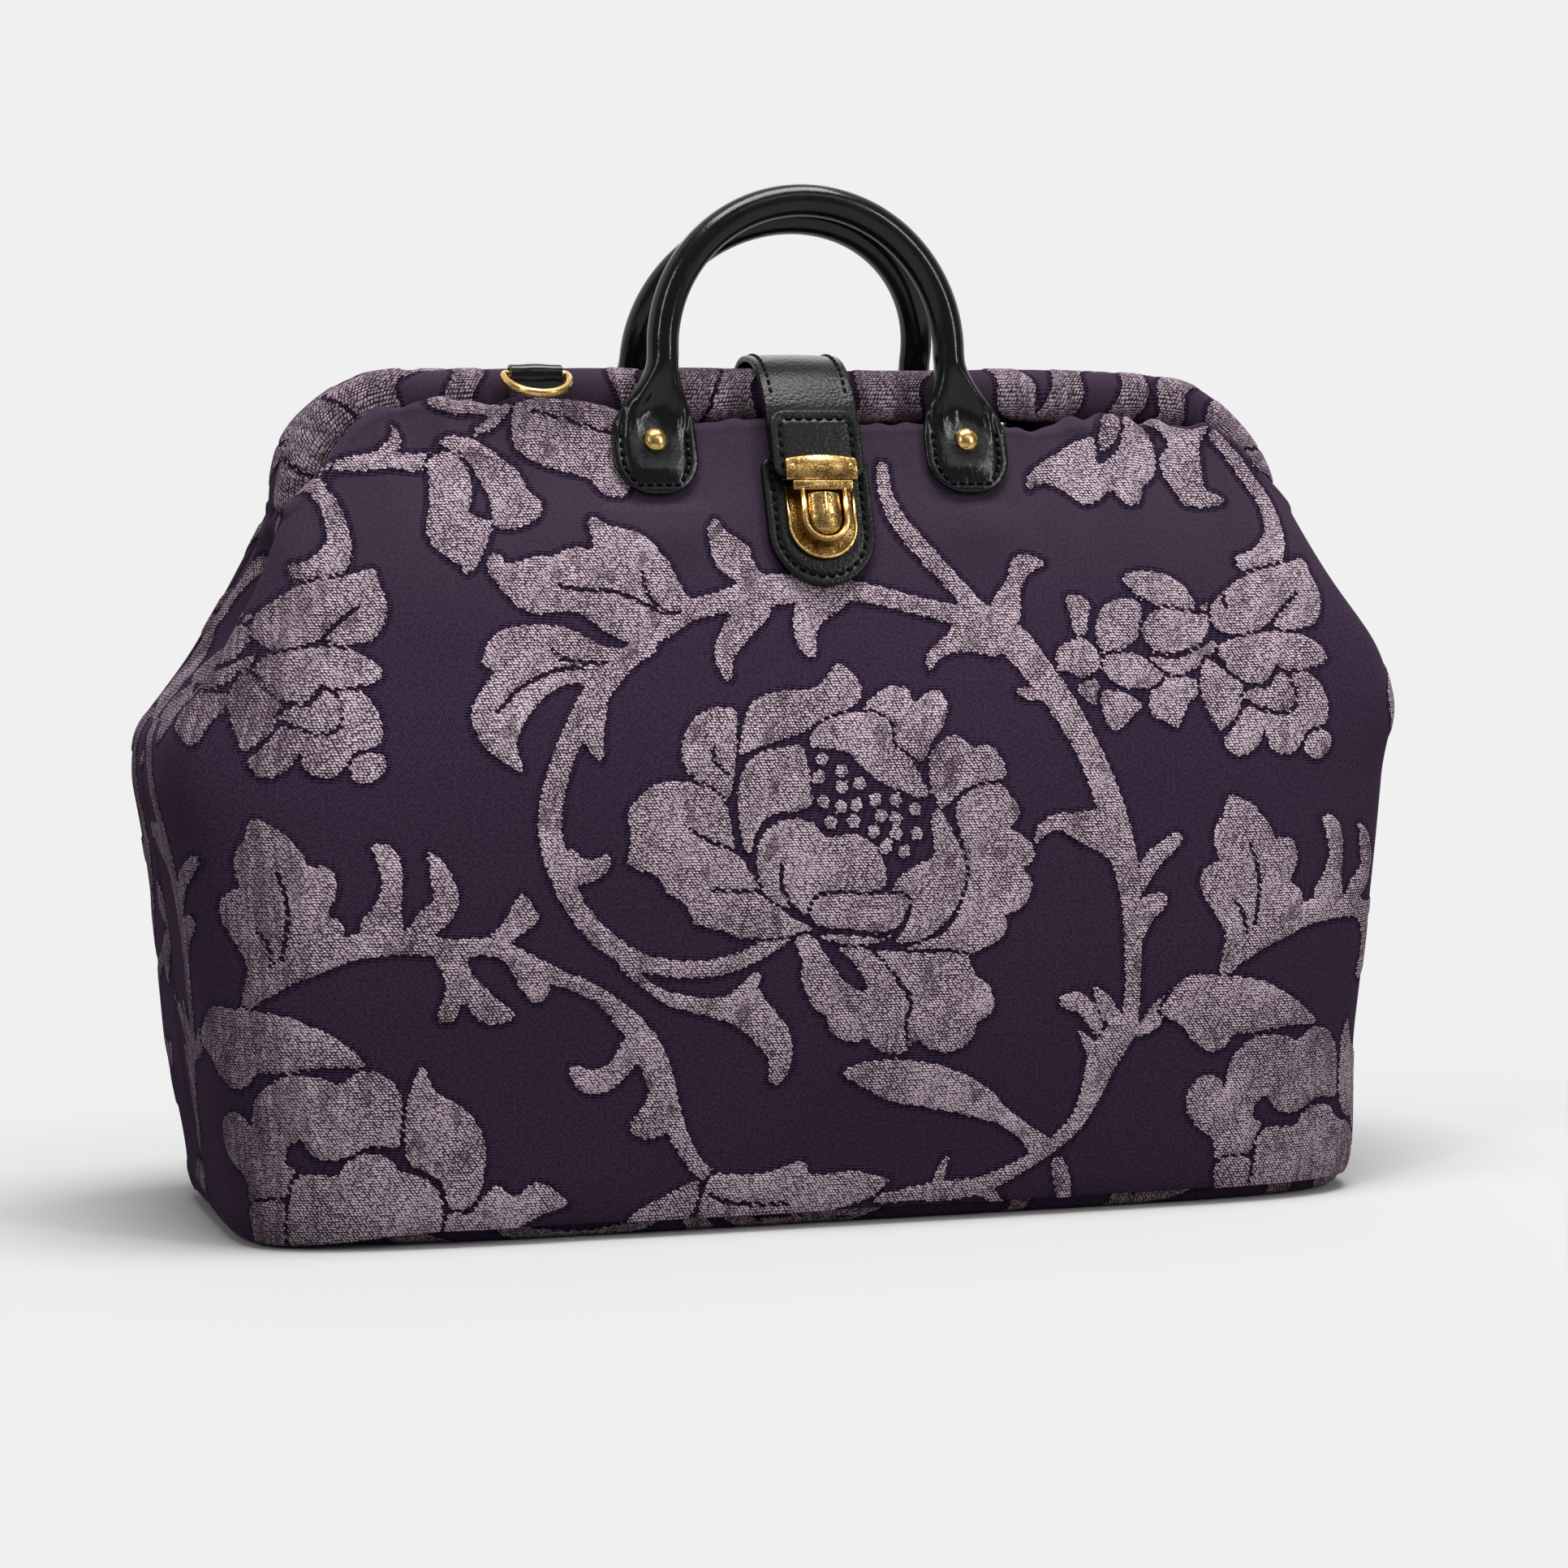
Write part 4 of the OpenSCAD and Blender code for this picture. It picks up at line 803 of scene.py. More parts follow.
def swell(points, back):
    x, z = points[..., 0], points[..., 2]
    mild = smooth((z - 12) / 50) * smooth((266 - z) / 40)
    push = mild * (1.3 * np.sin(x / 46 + 0.5) * np.sin(z / 52 + 1.0) + 0.8 * np.sin(x / 27 - z / 60 + 2.0)
                   + 0.45 * np.sin(x / 11.5 + 0.6 * np.sin(z / 40)))
    crown = smooth((z - 205) / 60)
    gather = crown * side_ripple(x * 0.85 + 0.12 * (z - 270), 2.0 + back)
    push = push + gather * (0.6 + 1.2 * smooth((np.abs(x - 10) - 70) / 60))
    fan = np.sin(x / 7.6 + 0.9 * np.sin(x / 31) + 0.012 * (z - 240)) + 0.5 * np.sin(x / 4.3 + 1.3 + 0.02 * z)
    reach = 0.25 + 0.95 * smooth((x - 28) / 40) * smooth((172 - x) / 30) + 0.6 * smooth((-78 - x) / 30)
    push = push + fan * reach * smooth((z - 186) / 78)
    pinch = np.exp(-((z - 272) / 11) ** 2) * side_ripple(x * 1.9, 5.0 + back)
    push = push + pinch * (0.8 + 1.1 * smooth((x - 15) / 50) + 0.6 * smooth((-60 - x) / 40))
    push = push + 1.5 * np.exp(-((z - 150) / 40) ** 2) * np.exp(-((x + 20) / 120) ** 2)
    seam = np.exp(-((np.abs(S) - 1) / 0.012) ** 2)
    push = push - 0.9 * seam * (z < 175)
    for mid in (-HANDLE_X, HANDLE_X):
        push = push + 1.6 * np.exp(-((x - mid) / 20) ** 2 - ((z - 234) / 9) ** 2)
        push = push - 1.2 * np.exp(-((np.abs(x - mid) - 23) / 8) ** 2) * smooth((z - 236) / 20)
        flat = pressed_by(x, z, mid - 15, mid + 15, 247, 280, 7)
        push = push * (1 - flat) - 0.7 * flat
    lock_low, lock_half = (226, 17) if back else (214, 19)
    flat = pressed_by(x, z, -lock_half, lock_half, lock_low, 285, 8)
    return push * (1 - flat) - 0.8 * flat


def slouch(points):
    x, y, z = points[..., 0], points[..., 1], points[..., 2]
    sideways = leaning(x, z) - 3.0 * smooth((-x - 150) / 60) * np.exp(-((z - 166) / 34) ** 2)
    hip = smooth((x - 140) / 60) * smooth((4 - y) / 30)
    sideways = sideways + 4.0 * hip * np.exp(-((z - 192) / 18) ** 2)
    flank = smooth((z - 15) / 45) * smooth((178 - z) / 34)
    sideways = sideways - flank * (2.0 * smooth((-x - 120) / 80) + 2.0 * smooth((x - 120) / 70))
    return points + np.stack([sideways, 0 * x, 0 * x], -1)


def cloth_arc(points):
    step = np.linalg.norm(np.diff(points[..., :2], axis=1), axis=-1)
    along = np.concatenate([np.zeros((len(points), 1)), np.cumsum(step, 1)], 1)
    return along - along[:, COLS // 2:COLS // 2 + 1]


def body_side(name, points, back, shift):
    across = cloth_arc(points)
    up = points[..., 2].copy()
    last = UNDER + WALL_ROWS - 1
    up[last:] = up[last] + np.concatenate([[np.zeros(COLS)], np.cumsum(
        np.linalg.norm(np.diff(points[last:], axis=0), axis=-1), 0)])
    up[:UNDER] = 2 * up[UNDER] - 3 - up[:UNDER]
    depth = motif_depth(across + shift, up)
    out = outward(points)
    shaped = points + out * (swell(points, back) + 0.5 * smooth((depth + 0.5) / 1.0))[..., None]
    x, z = points[..., 0], points[..., 2]
    # Share of the pile darkening: painted shade at the left end, which turns away from the light. It also rises at the
    # lower right, and along the ridge, where the pile is crushed.
    crush_and_shade = 0.16 + 0.84 * smooth((-155 - x) / 42) + 0.5 * smooth((x - 130) / 50) * smooth((120 - z) / 80)
    crush_and_shade = np.clip(crush_and_shade + 0.7 * smooth((z - 262) / 12), 0, 1)
    if back:
        shaped = shaped * (1, -1, 1)
    shaped = slouch(shaped)
    faces = grid_faces(len(points), COLS)
    return make_piece(name, shaped, faces[:, ::-1] if back else faces, carpet, {"pile": depth, "crush_and_shade": crush_and_shade},
                      np.stack([across + shift, up], -1))


front_cloth = body_side("front_cloth", front_points, False, 0.0)
back_cloth = body_side("back_cloth", side_points(True)[0], True, 150.0)
for piece in (front_cloth, back_cloth):
    print(piece.name, len(piece.data.polygons) * 2, "triangles,", round(area_of(piece), 3), "square metres")


def side_of(back):
    return ("back", 1) if back else ("front", -1)


def hang(piece, back):
    side, sign = side_of(back)
    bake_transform(piece)


for piece, back in ((front_cloth, False), (back_cloth, True)):
    side = side_of(back)[0]
    hang(piece, back)
    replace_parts(piece, f"{side}_panel", f"{side}_yoke")
    round(area_of(piece), 4)

# %% [markdown]
# ## Lining finish
# The lining is a plain dark cloth with a fine plain weave. Nothing of it shows while the bag is shut. It is
# also the inner face of the tucked ends, so it is mixed before they are made.

# %% Lining finish
def lining_finish():
    made, t = new_finish("lining_cloth")
    where = object_place(t)
    threads = noise(t, where, 1.0, 2.0, (900.0, 900.0, 2600.0))
    folds = noise(t, where, 22.0, 3.0)
    tone = mul_add(t, threads, 0.6, mul(t, folds, 0.4))
    bump = add(t, "Bump", Strength=0.5, Distance=0.0008, Height=calc(t, "ADD", tone, folds))
    close_finish(t, Base_Color=two_tone(t, tone, (0.012, 0.009, 0.014), (0.035, 0.027, 0.04)),
                 Roughness=fade(t, threads, 0.3, 0.7, 0.5, 0.68), Normal=bump.outputs[0], Sheen_Weight=0.1)
    return made


lining = lining_finish()
print("finish:", lining.name)

# %% [markdown]
# ## Tucked ends
# Between the two fold edges each end is a valley of cloth that opens when the mouth is opened. It is made
# in four halves, front and back, left and right. An inner layer of lining shows when the bag stands open.

# %% Ends
def end_half(right, back):
    u = np.linspace(0, 1.03, 34)[None]
    z = np.linspace(BELLY_Z - 9, 246, 56)[:, None]
    n = squareness(z)
    edge_q = (1 - FLAT_W ** n) ** (1 / n) * (1 - (EDGE_S + 0.014 - FLAT_S) / (1 - FLAT_S))
    tuck = 14 * smooth((z - BELLY_Z) / (HINGE_Z - BELLY_Z) * 1.8) * (1 - 0.9 * smooth((z - 222) / 16))
    x = half_width(z) * (1 - (edge_q * u) ** n) ** (1 / n) - tuck * np.clip(1 - u * u, 0, 1) ** 1.5
    x = x - 2.6 * smooth((u - 0.72) / 0.2) - 2.4 * smooth((BELLY_Z + 16 - z) / 18)
    x = x + (0.8 * np.sin(z / 7.5 + 3 * u) + 0.6 * np.sin(u * 17 + z / 19)) * smooth((z - 176) / 20) * (1 - u)
    y = half_depth(z) * edge_q * u
    sx, (side, sy) = (1 if right else -1), side_of(back)
    outer = slouch(np.stack([sx * x, sy * y + 0 * x, z + 0 * x], -1))
    inner = outer - (sx * 1.8, 0, 0)
    across = sx * sy * 30 + sx * 215 + sx * sy * 30 * u + 0 * z
    up = z + 0 * u
    depth = motif_depth(across, up)
    faces = grid_faces(*outer.shape[:2])
    if right != back:
        faces = faces[:, ::-1]
    name = f"{'right' if right else 'left'}_end_{side}"
    both = np.concatenate([outer.reshape(-1, 3), inner.reshape(-1, 3)])
    uv = np.stack([across, up], -1).reshape(-1, 2)
    rows, cols, count = *outer.shape[:2], outer.size // 3
    rim = np.concatenate([np.arange(cols), np.arange(2, rows + 1) * cols - 1,
                          np.arange(rows * cols - 2, (rows - 1) * cols - 1, -1), np.arange(rows - 2, 0, -1) * cols])
    ahead = np.roll(rim, -1)
    sides = np.stack([ahead, rim, rim + count, ahead + count], -1)
    sides = sides[:, ::-1] if right != back else sides
    # The tucked ends get the full share of the pile darkening: painted shade in the tucks, and crushed pile.
    made = make_piece(name, both, np.concatenate([faces, faces[:, ::-1] + count, sides]), carpet,
                      {"pile": np.tile(depth.ravel(), 2), "crush_and_shade": np.full(len(both), 1.0)}, np.tile(uv, (2, 1)))
    made.data.materials.append(lining)
    inward = np.arange(len(made.data.polygons)) >= len(faces)
    made.data.polygons.foreach_set("material_index", inward.astype(np.int32))
    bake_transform(made)
    return made


ends = {(r, b): end_half(r, b) for r in (False, True) for b in (False, True)}
for (right, back), piece in ends.items():
    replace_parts(piece, "right_gusset" if right else "left_gusset")
print("ends:", [piece.name for piece in ends.values()])

# %% [markdown]
# ## Lining
# The lining is a second, smaller bag inside the first. It follows the walls a few millimetres in, and
# hangs in slack upright folds below the mouth.

# %% Lining sheets
def lining_side(back):
    s = np.linspace(-1, 1, 141)[None]
    z = np.linspace(13, 262, 84)[:, None]
    held = s + (np.clip(s, -0.79, 0.79) - s) * smooth((z - BELLY_Z + 6) / 20)
    x, y = wall(held, z + 0 * s, 5.4)
    z_top = np.minimum(z + 0 * s, ridge_line(x) - 6)
    fold = 1.3 * np.sin(s * 31 + 0.5 * np.sin(z / 30)) * smooth((z - 40) / 80) * smooth((250 - z) / 40)
    y = y + (1.2 + fold)
    points = slouch(np.stack([x, -y if back else y, z_top], -1))
    faces = grid_faces(*points.shape[:2])
    made = make_piece(f"{side_of(back)[0]}_lining", points, faces if back else faces[:, ::-1], lining)
    hang(made, back)
    return made


for back in (False, True):
    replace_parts(lining_side(back), "lining")
print("lining: 2 sheets")

# %% [markdown]
# ## Base
# The base is a board wrapped in the same cloth. It stands a little in from the walls, so a thin strip of
# it and a dark gap show under the front hem. It is a stack of rounded rings, closed below.

# %% Base slab
BASE_IN = 3.2
SLAB_STEPS = np.array([  # height, draw-in, place up the cloth
    (0.0, 30, 60), (0.0, 8.0, 85), (0.25, 5.0, 88), (0.9, 3.0, 90), (2.2, 1.2, 92), (4.0, 0.4, 94), (6.5, 0.2, 97),
    (8.6, 0.6, 99), (9.0, 2.0, 101), (9.0, 20, 120)])


def base_slab():
    lap = np.concatenate([np.linspace(-1, 1, 240)[:-1], np.linspace(1, -1, 240)[:-1]])
    count = len(lap)
    far = np.arange(count) >= count // 2
    rings = []
    for z, inset, _ in SLAB_STEPS:
        x, y = wall(lap, np.full(count, FOOT_Z), BASE_IN + inset)
        rings.append(np.stack([x, np.where(far, -y, y), np.full(count, z)], -1))
    rings = np.array(rings)
    step = np.linalg.norm(np.diff(rings[4], axis=0, append=rings[4][:1]), axis=-1)
    across = np.broadcast_to(np.cumsum(step) - 200, rings.shape[:2])
    up = np.broadcast_to(SLAB_STEPS[:, 2:], across.shape)
    # The base gets a high share of the pile darkening: painted shade under the hem, and crushed pile.
    marks = {"pile": motif_depth(across, up), "crush_and_shade": np.full(across.shape, 0.8)}
    return make_piece("base_slab", rings, capped_faces(*across.shape), carpet, marks, np.stack([across, up], -1))


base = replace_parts(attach(base_slab(), "body"), "base_panel")

# %% [markdown]
# ## Casings
# Each bow is hidden in a padded sleeve of the cloth. The sleeve is drawn over the bow and gathered, so its
# surface is a run of soft puckers that bunch up at the two corners. It is a tube swept round the bow.

# %% Leaves on the sleeves, as place along the sleeve, half width and slant
SLEEVE_LEAVES = [(-168, 30, 0), (-119.5, 4.8, 2), (-61, 5, -2), (-30, 15, 1), (33, 13, 2), (80, 6.3, -3.5),
                 (97.5, 6.3, 3.7), (123, 5.3, 3.2), (139.5, 6, 2), (170, 15, 2)]
SLEEVE_VEINS = [(-186, 3), (-159, -4), (-31, 4), (176, 3)]


def sleeve_depth(along, around):
    depth = np.full(np.broadcast(along, around).shape, -FAR)
    for mid, half, slant in SLEEVE_LEAVES:
        edge = mid + slant * np.cos(around) + 1.3 * np.sin(3 * around + mid)
        depth = np.maximum(depth, half * (1 + 0.14 * np.sin(2 * around + mid)) - np.abs(along - edge))
    for mid, slant in SLEEVE_VEINS:
        depth = np.minimum(depth, np.abs(along - mid - slant * np.cos(around)) - 0.8)
    return np.clip(depth, -FAR, FAR)


# %% Padded sleeves
def casing_sleeve(back):
    foot = HINGE_Z + 1
    leg, turn = BOW_Z - BOW_R - foot, BOW_R * math.pi / 2
    total = 2 * (leg + turn) + 2 * CORNER_X
    p = np.linspace(0, total, 300)
    q = np.minimum(p, total - p)
    side = np.where(p < total / 2, -1, 1)
    a = np.clip((q - leg) / BOW_R, 0, math.pi / 2)
    straight = np.maximum(0, q - leg - turn)
    ox, oz = side * np.cos(a), np.sin(a)
    soft_corner = np.where(side > 0, 5.0, 0.6) * np.exp(-((q - leg - turn / 2) / 27) ** 2)
    cx = side * (CORNER_X + BOW_R * np.cos(a) - straight) - ox * soft_corner
    cz = np.where(q < leg, foot + q, BOW_Z - BOW_R + BOW_R * np.sin(a)) - oz * soft_corner
    around = np.linspace(0, 2 * math.pi, 41)[:-1]
    c, s = np.cos(around), np.sin(around)
    shape = 2 / 2.5
    out = np.sign(c) * np.abs(c) ** shape * CASING_H / 2
    deep = np.sign(s) * np.abs(s) ** shape * CASING_T / 2
    ends = smooth(q / 4) * 0.45 + 0.55
    bunch = 0.35 + 1.0 * np.exp(-((q - leg - turn * 0.6) / 34) ** 2)
    ripple = side_ripple(p * 0.75, 3.0 + back)[:, None]
    pucker = bunch[:, None] * (ripple * (0.6 + 0.4 * np.cos(around * 2 + p[:, None] / 40)))
    scale = ends[:, None] * (1 + 0.1 * pucker)
    scale = scale * (1 - 0.03 * soft_corner[:, None])
    across = np.broadcast_to((p - total / 2)[:, None], scale.shape)
    up = np.broadcast_to((104 + around / (2 * math.pi) * 49)[None], scale.shape)
    depth = sleeve_depth(-across if back else across, around[None])
    scale = scale + 0.05 * smooth((depth + 0.5) / 1.0)
    lift = np.where(np.abs(cx) < CORNER_X, 0.8 * side_ripple(cx * 0.4, 2.0 + back), 0)
    y0 = -(CASING_T / 2 + 0.4)
    points = np.stack([cx[:, None] + ox[:, None] * out * scale, y0 - deep * scale,
                       cz[:, None] + lift[:, None] + oz[:, None] * out * scale], -1)
    if back:
        points = points * (1, -1, 1)
    word = side_of(back)[0]
    made = make_piece(f"{word}_sleeve", points, capped_faces(*scale.shape), carpet,
                      {"pile": depth, "crush_and_shade": np.full(scale.shape, 0.8)}, np.stack([across, up], -1))
    face_out(made.data)
    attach(made, f"{word}_bow")
    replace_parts(made, f"{word}_casing")
    return made


sleeves = [casing_sleeve(False), casing_sleeve(True)]
print("sleeves:", [len(s.data.polygons) for s in sleeves], "faces")

# %% [markdown]
# ## Leather finishes
# The leather is black and dressed to a shine. On the rolled handles it is stretched smooth, with fine
# creases where it opens out over the tabs. The flat straps and patches show a pebbled grain. Grain is a
# cell texture in the bump, and a slow noise varies the gloss so that reflections break up.

# %% Leather finish
def leather_finish(name, grain, gloss, furrows, cells, depth, shine):
    made, t = new_finish(name)
    where = object_place(t)
    pebbles = add(t, "TexVoronoi", {"feature": "F1"}, Vector=where, Scale=cells).outputs["Distance"]
    crease = noise(t, where, 420.0, 6.0, Roughness=0.62, Distortion=0.6)
    slow = noise(t, where, 70.0, 3.0)
    height = mul_add(t, pebbles, grain, mul(t, crease, 0.25 * grain))
    furrow = noise(t, where, 1.0, 4.0, (520.0, 400.0, 360.0), Distortion=1.0)
    opened = fade(t, add(t, "SeparateXYZ", Vector=where).outputs[2], 0.289, 0.268, 0.0, furrows)
    height = mul_add(t, furrow, opened, height)
    bump = add(t, "Bump", Strength=0.55, Distance=depth, Height=height)
    worn = mul_add(t, slow, 0.6, mul(t, crease, 0.35))
    close_finish(t, Base_Color=two_tone(t, worn, (0.0018, 0.0018, 0.0022), (0.0062, 0.0062, 0.0076)),
                 Roughness=fade(t, worn, 0.3, 0.65, gloss - 0.03, gloss + 0.06), Normal=bump.outputs[0],
                 Specular_IOR_Level=shine)
    return made


def thread_finish():
    made, t = new_finish("waxed_thread")
    where = object_place(t)
    twist = noise(t, where, 1800.0, 2.0)
    bump = add(t, "Bump", Strength=0.4, Distance=0.0002, Height=twist)
    close_finish(t, Base_Color=two_tone(t, twist, (0.0015, 0.0015, 0.0018), (0.006, 0.006, 0.007)),
                 Roughness=fade(t, twist, 0.3, 0.7, 0.6, 0.75), Normal=bump.outputs[0], Specular_IOR_Level=0.1)
    return made


rolled = leather_finish("rolled_leather", grain=0.28, gloss=0.15, furrows=2.4, cells=1050.0, depth=0.0001, shine=0.36)
flat_hide = leather_finish("flat_leather", grain=0.85, gloss=0.28, furrows=0.15, cells=900.0, depth=0.00024, shine=0.25)
thread = thread_finish()
print("leather:", rolled.name, flat_hide.name, thread.name)

# %% [markdown]
# ## Stitches
# Saddle stitches lie in a row along each leather edge. A stitch is a short plump thread that dips into a
# hole at both ends. All the stitches of a row are one mesh, made from one small pattern of rings.

# %% Stitch rows
STITCH = [(-0.5, 0.35, -0.55), (-0.36, 0.85, -0.1), (0, 1, 0.1), (0.36, 0.85, -0.1), (0.5, 0.35, -0.55)]


def run_length(line):
    return np.concatenate([[0], np.cumsum(np.linalg.norm(np.diff(line, axis=0), axis=1))])


def spaced(line, pitch):
    along = run_length(line)
    count = max(2, int(round(along[-1] / pitch)))
    at = (np.arange(count) + 0.5) * along[-1] / count

    def pick(places):
        return np.column_stack([np.interp(places, along, column) for column in line.T])
    return pick(at), unit(pick(at + 0.2) - pick(at - 0.2))


def sew(name, rows, body, pitch=3.6, length=2.75, thick=1.15):
    points, faces = [], []
    ring = np.linspace(0, 2 * math.pi, 8)[:-1]
    pattern = capped_faces(len(STITCH), len(ring))
    for line, out in rows:
        spots, run = spaced(line, pitch)
        up = np.asarray(out, float) * np.ones_like(spots)
        side = np.cross(run, up)
        for spot, along, over, beside in zip(spots, run, up, side):
            first = len(points)
            for t, r, dip in STITCH:
                mid = spot + along * t * length + over * dip * thick
                points += [mid + (beside * math.cos(f) + over * math.sin(f)) * r * thick / 2 for f in ring]
            faces += [[first + k for k in face] for face in pattern]
    made = make_piece(name, np.array(points), faces, thread, tidy=True)
    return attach(made, body)


# %% [markdown]
# ## Handles
# A handle is one length of leather: a stuffed roll that opens at each end into a flat tab, sewn and
# riveted to the wall. It is swept as one row of rings, which turns at the top of the tab. The
# opened part keeps two raised rims with a hollow between, and a dimple where the rivet pulls it down.

# %% Handle shape
BEND_Z, TAB_T, SOFT_GAP = 270.0, 2.6, 0.4
BEND_N = SOFT_GAP + TAB_T / 2
BEND_Y = -float(half_depth(np.array(BEND_Z))) - BEND_N * math.cos(TILT)
BEND_H = BEND_Z + BEND_N * math.sin(TILT)
TAB_L, TAB_W, RIVET_W, LEG, ROLL_R = 25.5, 30.0, -6.5, 77 - ARCH_R, 5.5


def handle_place(back):
    w = np.linspace(-32, 100, 2641)
    turn = TILT + (math.radians(22.5 if back else 5.0) - TILT) * smooth((w + 5) / 14)
    y = np.concatenate([[0], np.cumsum(np.sin(turn[:-1]) * np.diff(w))])
    z = np.concatenate([[0], np.cumsum(np.cos(turn[:-1]) * np.diff(w))])
    y, z = y - np.interp(0, w, y) + BEND_Y, z - np.interp(0, w, z) + BEND_H

    def place(x, up, out):
        angle = np.interp(up, w, turn)
        yy = np.interp(up, w, y) - out * np.cos(angle)
        return np.stack([x + 0 * yy, -yy if back else yy, np.interp(up, w, z) + out * np.sin(angle)], -1)
    return place


def tab_half_width(w):
    round_r = TAB_W * 0.44
    low = np.clip(round_r - (w + TAB_L), 0, round_r)
    base = TAB_W / 2 - round_r + np.sqrt(np.maximum(round_r ** 2 - low ** 2, 0))
    return base + (ROLL_R - TAB_W / 2) * smooth((w + 5) / 27)


def leg_x(w):
    return HANDLE_X - (HANDLE_X - ARCH_R) * smooth((w + 4) / (LEG + 4))


def leg_ring(w, around):
    c, s = np.cos(around), np.sin(around)
    hw = tab_half_width(w)
    roll = smooth((w + 1) / 23)
    ht = 1.3 + 4.2 * roll
    m = 4.2 - 2.2 * roll
    xi = np.sign(c) * np.abs(c) ** (2 / m) * hw
    n = np.sign(s) * np.abs(s) ** (2 / m) * ht
    face = (s > 0) * np.abs(s) ** 0.5
    pad = 1.0 * np.clip(1 - (xi / max(hw - 4.2, 1)) ** 2, 0, 1) ** 0.7 * smooth((w + 21.5) / 5) * (1 - roll)
    hollow = 2.1 * np.exp(-(xi / (0.42 * hw)) ** 2) * np.exp(-((w - 6) / 7.5) ** 2)
    rim = 1.5 * np.exp(-((np.abs(xi) - 0.62 * hw) / (0.26 * hw)) ** 2) * np.exp(-((w - 7) / 8) ** 2)
    dimple = 1.1 * np.exp(-(xi ** 2 + (w - RIVET_W) ** 2) / 34)
    pleat = 0.22 * np.sin(xi * 2.2) * np.exp(-((w - 1) / 6) ** 2)
    in_edge = np.minimum(hw - np.abs(xi), w + TAB_L)
    groove = 0.4 * np.exp(-((in_edge - 3.3) / 0.8) ** 2) * smooth((-1 - w) / 4)
    return xi, n + face * (pad - hollow + rim - dimple + pleat - groove)


def handle(back):
    side, sign = side_of(back)
    place = handle_place(back)
    around = np.linspace(0, 2 * math.pi, 97)[:-1]
    level = np.ones_like(around)
    ease = np.concatenate([-TAB_L + 6 * (1 - np.cos(np.linspace(0, math.pi / 2, 10))), np.linspace(-19, LEG, 54)])
    shrink = np.concatenate([np.linspace(0.35, 1, 5), np.ones(len(ease) - 5)])
    leg = [(w, k, *leg_ring(w, around)) for w, k in zip(ease, shrink)]
    rings = [place(-(leg_x(w) + xi), w * level, n * k) for w, k, xi, n in leg]
    for f in np.linspace(math.pi, 0, 112)[1:-1]:
        swollen = ROLL_R + 0.18 * math.sin(f)
        xi, n = swollen * np.cos(around), swollen * np.sin(around)
        rings.append(place((ARCH_R + xi) * math.cos(f), LEG + (ARCH_R + xi) * math.sin(f), n))
    rings += [place(leg_x(w) + xi, w * level, n * k) for w, k, xi, n in leg[::-1]]
    made = tube(f"{side}_handle_roll", np.array(rings), rolled)
    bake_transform(made)
    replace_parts(made, f"{side}_handle", f"{side}_left_tab", f"{side}_right_tab")
    w = np.linspace(-3, -TAB_L + 3.2, 40)
    inner = np.maximum(tab_half_width(np.maximum(w - 0.4, -TAB_L)) - 3.3, 2.5)
    xs, ws = np.concatenate([-inner, inner[::-1]]), np.concatenate([w, w[::-1]])
    out = (0, sign * math.cos(TILT), math.sin(TILT))
    rows = [(place(mid + xs, ws, np.full(len(ws), 1.45)), out) for mid in (-HANDLE_X, HANDLE_X)]
    sew(f"{side}_tab_stitches", rows, f"{side}_upper", pitch=3.3, length=2.45, thick=1.05)
    return made


handles = [handle(False), handle(True)]
print("handles:", [len(h.data.polygons) for h in handles], "faces, bending at", round(BEND_Y, 2), round(BEND_H, 2))

# %% [markdown]
# ## Antique brass
# The fittings are brass that was darkened and then rubbed bright again on its faces and edges. A fine
# speckle and a slow cloud mix the dark and bright tones, and the edges, where the surface turns most,
# are brighter still.

# %% Brass and steel finishes
def brass_finish(name, polish):
    made, t = new_finish(name)
    where = object_place(t)
    cloud, speck = noise(t, where, 160.0, 4.0), noise(t, where, 1900.0, 3.0)
    scratch = noise(t, where, 1.0, 2.0, (2500.0, 260.0, 260.0))
    edge = fade(t, add(t, "NewGeometry").outputs["Pointiness"], 0.5, 0.58)
    tarnish = mul_add(t, speck, 0.75, mul(t, cloud, 0.65))
    clean = calc(t, "MAXIMUM", fade(t, tarnish, 0.78 + polish, 0.5 + polish), edge)
    bump = add(t, "Bump", Strength=0.12, Distance=0.0002, Height=calc(t, "ADD", scratch, speck))
    close_finish(t, Base_Color=two_tone(t, clean, (0.1, 0.053, 0.014), (0.84, 0.55, 0.2)), Metallic=1.0,
                 Roughness=fade(t, clean, 0.0, 1.0, 0.38, 0.2), Normal=bump.outputs[0])
    return made


def plain_finish(name, dark, light, scale, metal, rough):
    made, t = new_finish(name)
    where = object_place(t)
    grain = noise(t, where, scale, 3.0)
    bump = add(t, "Bump", Strength=0.15, Distance=0.0002, Height=grain)
    close_finish(t, Base_Color=two_tone(t, grain, dark, light), Metallic=metal,
                 Roughness=fade(t, grain, 0.3, 0.7, rough - 0.08, rough + 0.1), Normal=bump.outputs[0])
    return made


brass, bright_brass = brass_finish("antique_brass", -0.03), brass_finish("rubbed_brass", 0.13)
clasp_brass = brass_finish("speckled_brass", 0.02)
steel = plain_finish("frame_steel", (0.32, 0.32, 0.33), (0.55, 0.55, 0.56), scale=700.0, metal=1.0, rough=0.4)
board = plain_finish("base_board", (0.16, 0.11, 0.06), (0.3, 0.22, 0.13), scale=120.0, metal=0.0, rough=0.8)
print("metal:", brass.name, bright_brass.name, clasp_brass.name, steel.name)

# %% [markdown]
# ## Rivets
# Each tab is held by one domed brass rivet. It is a turned shape: a flat skirt, a dome and a soft top.

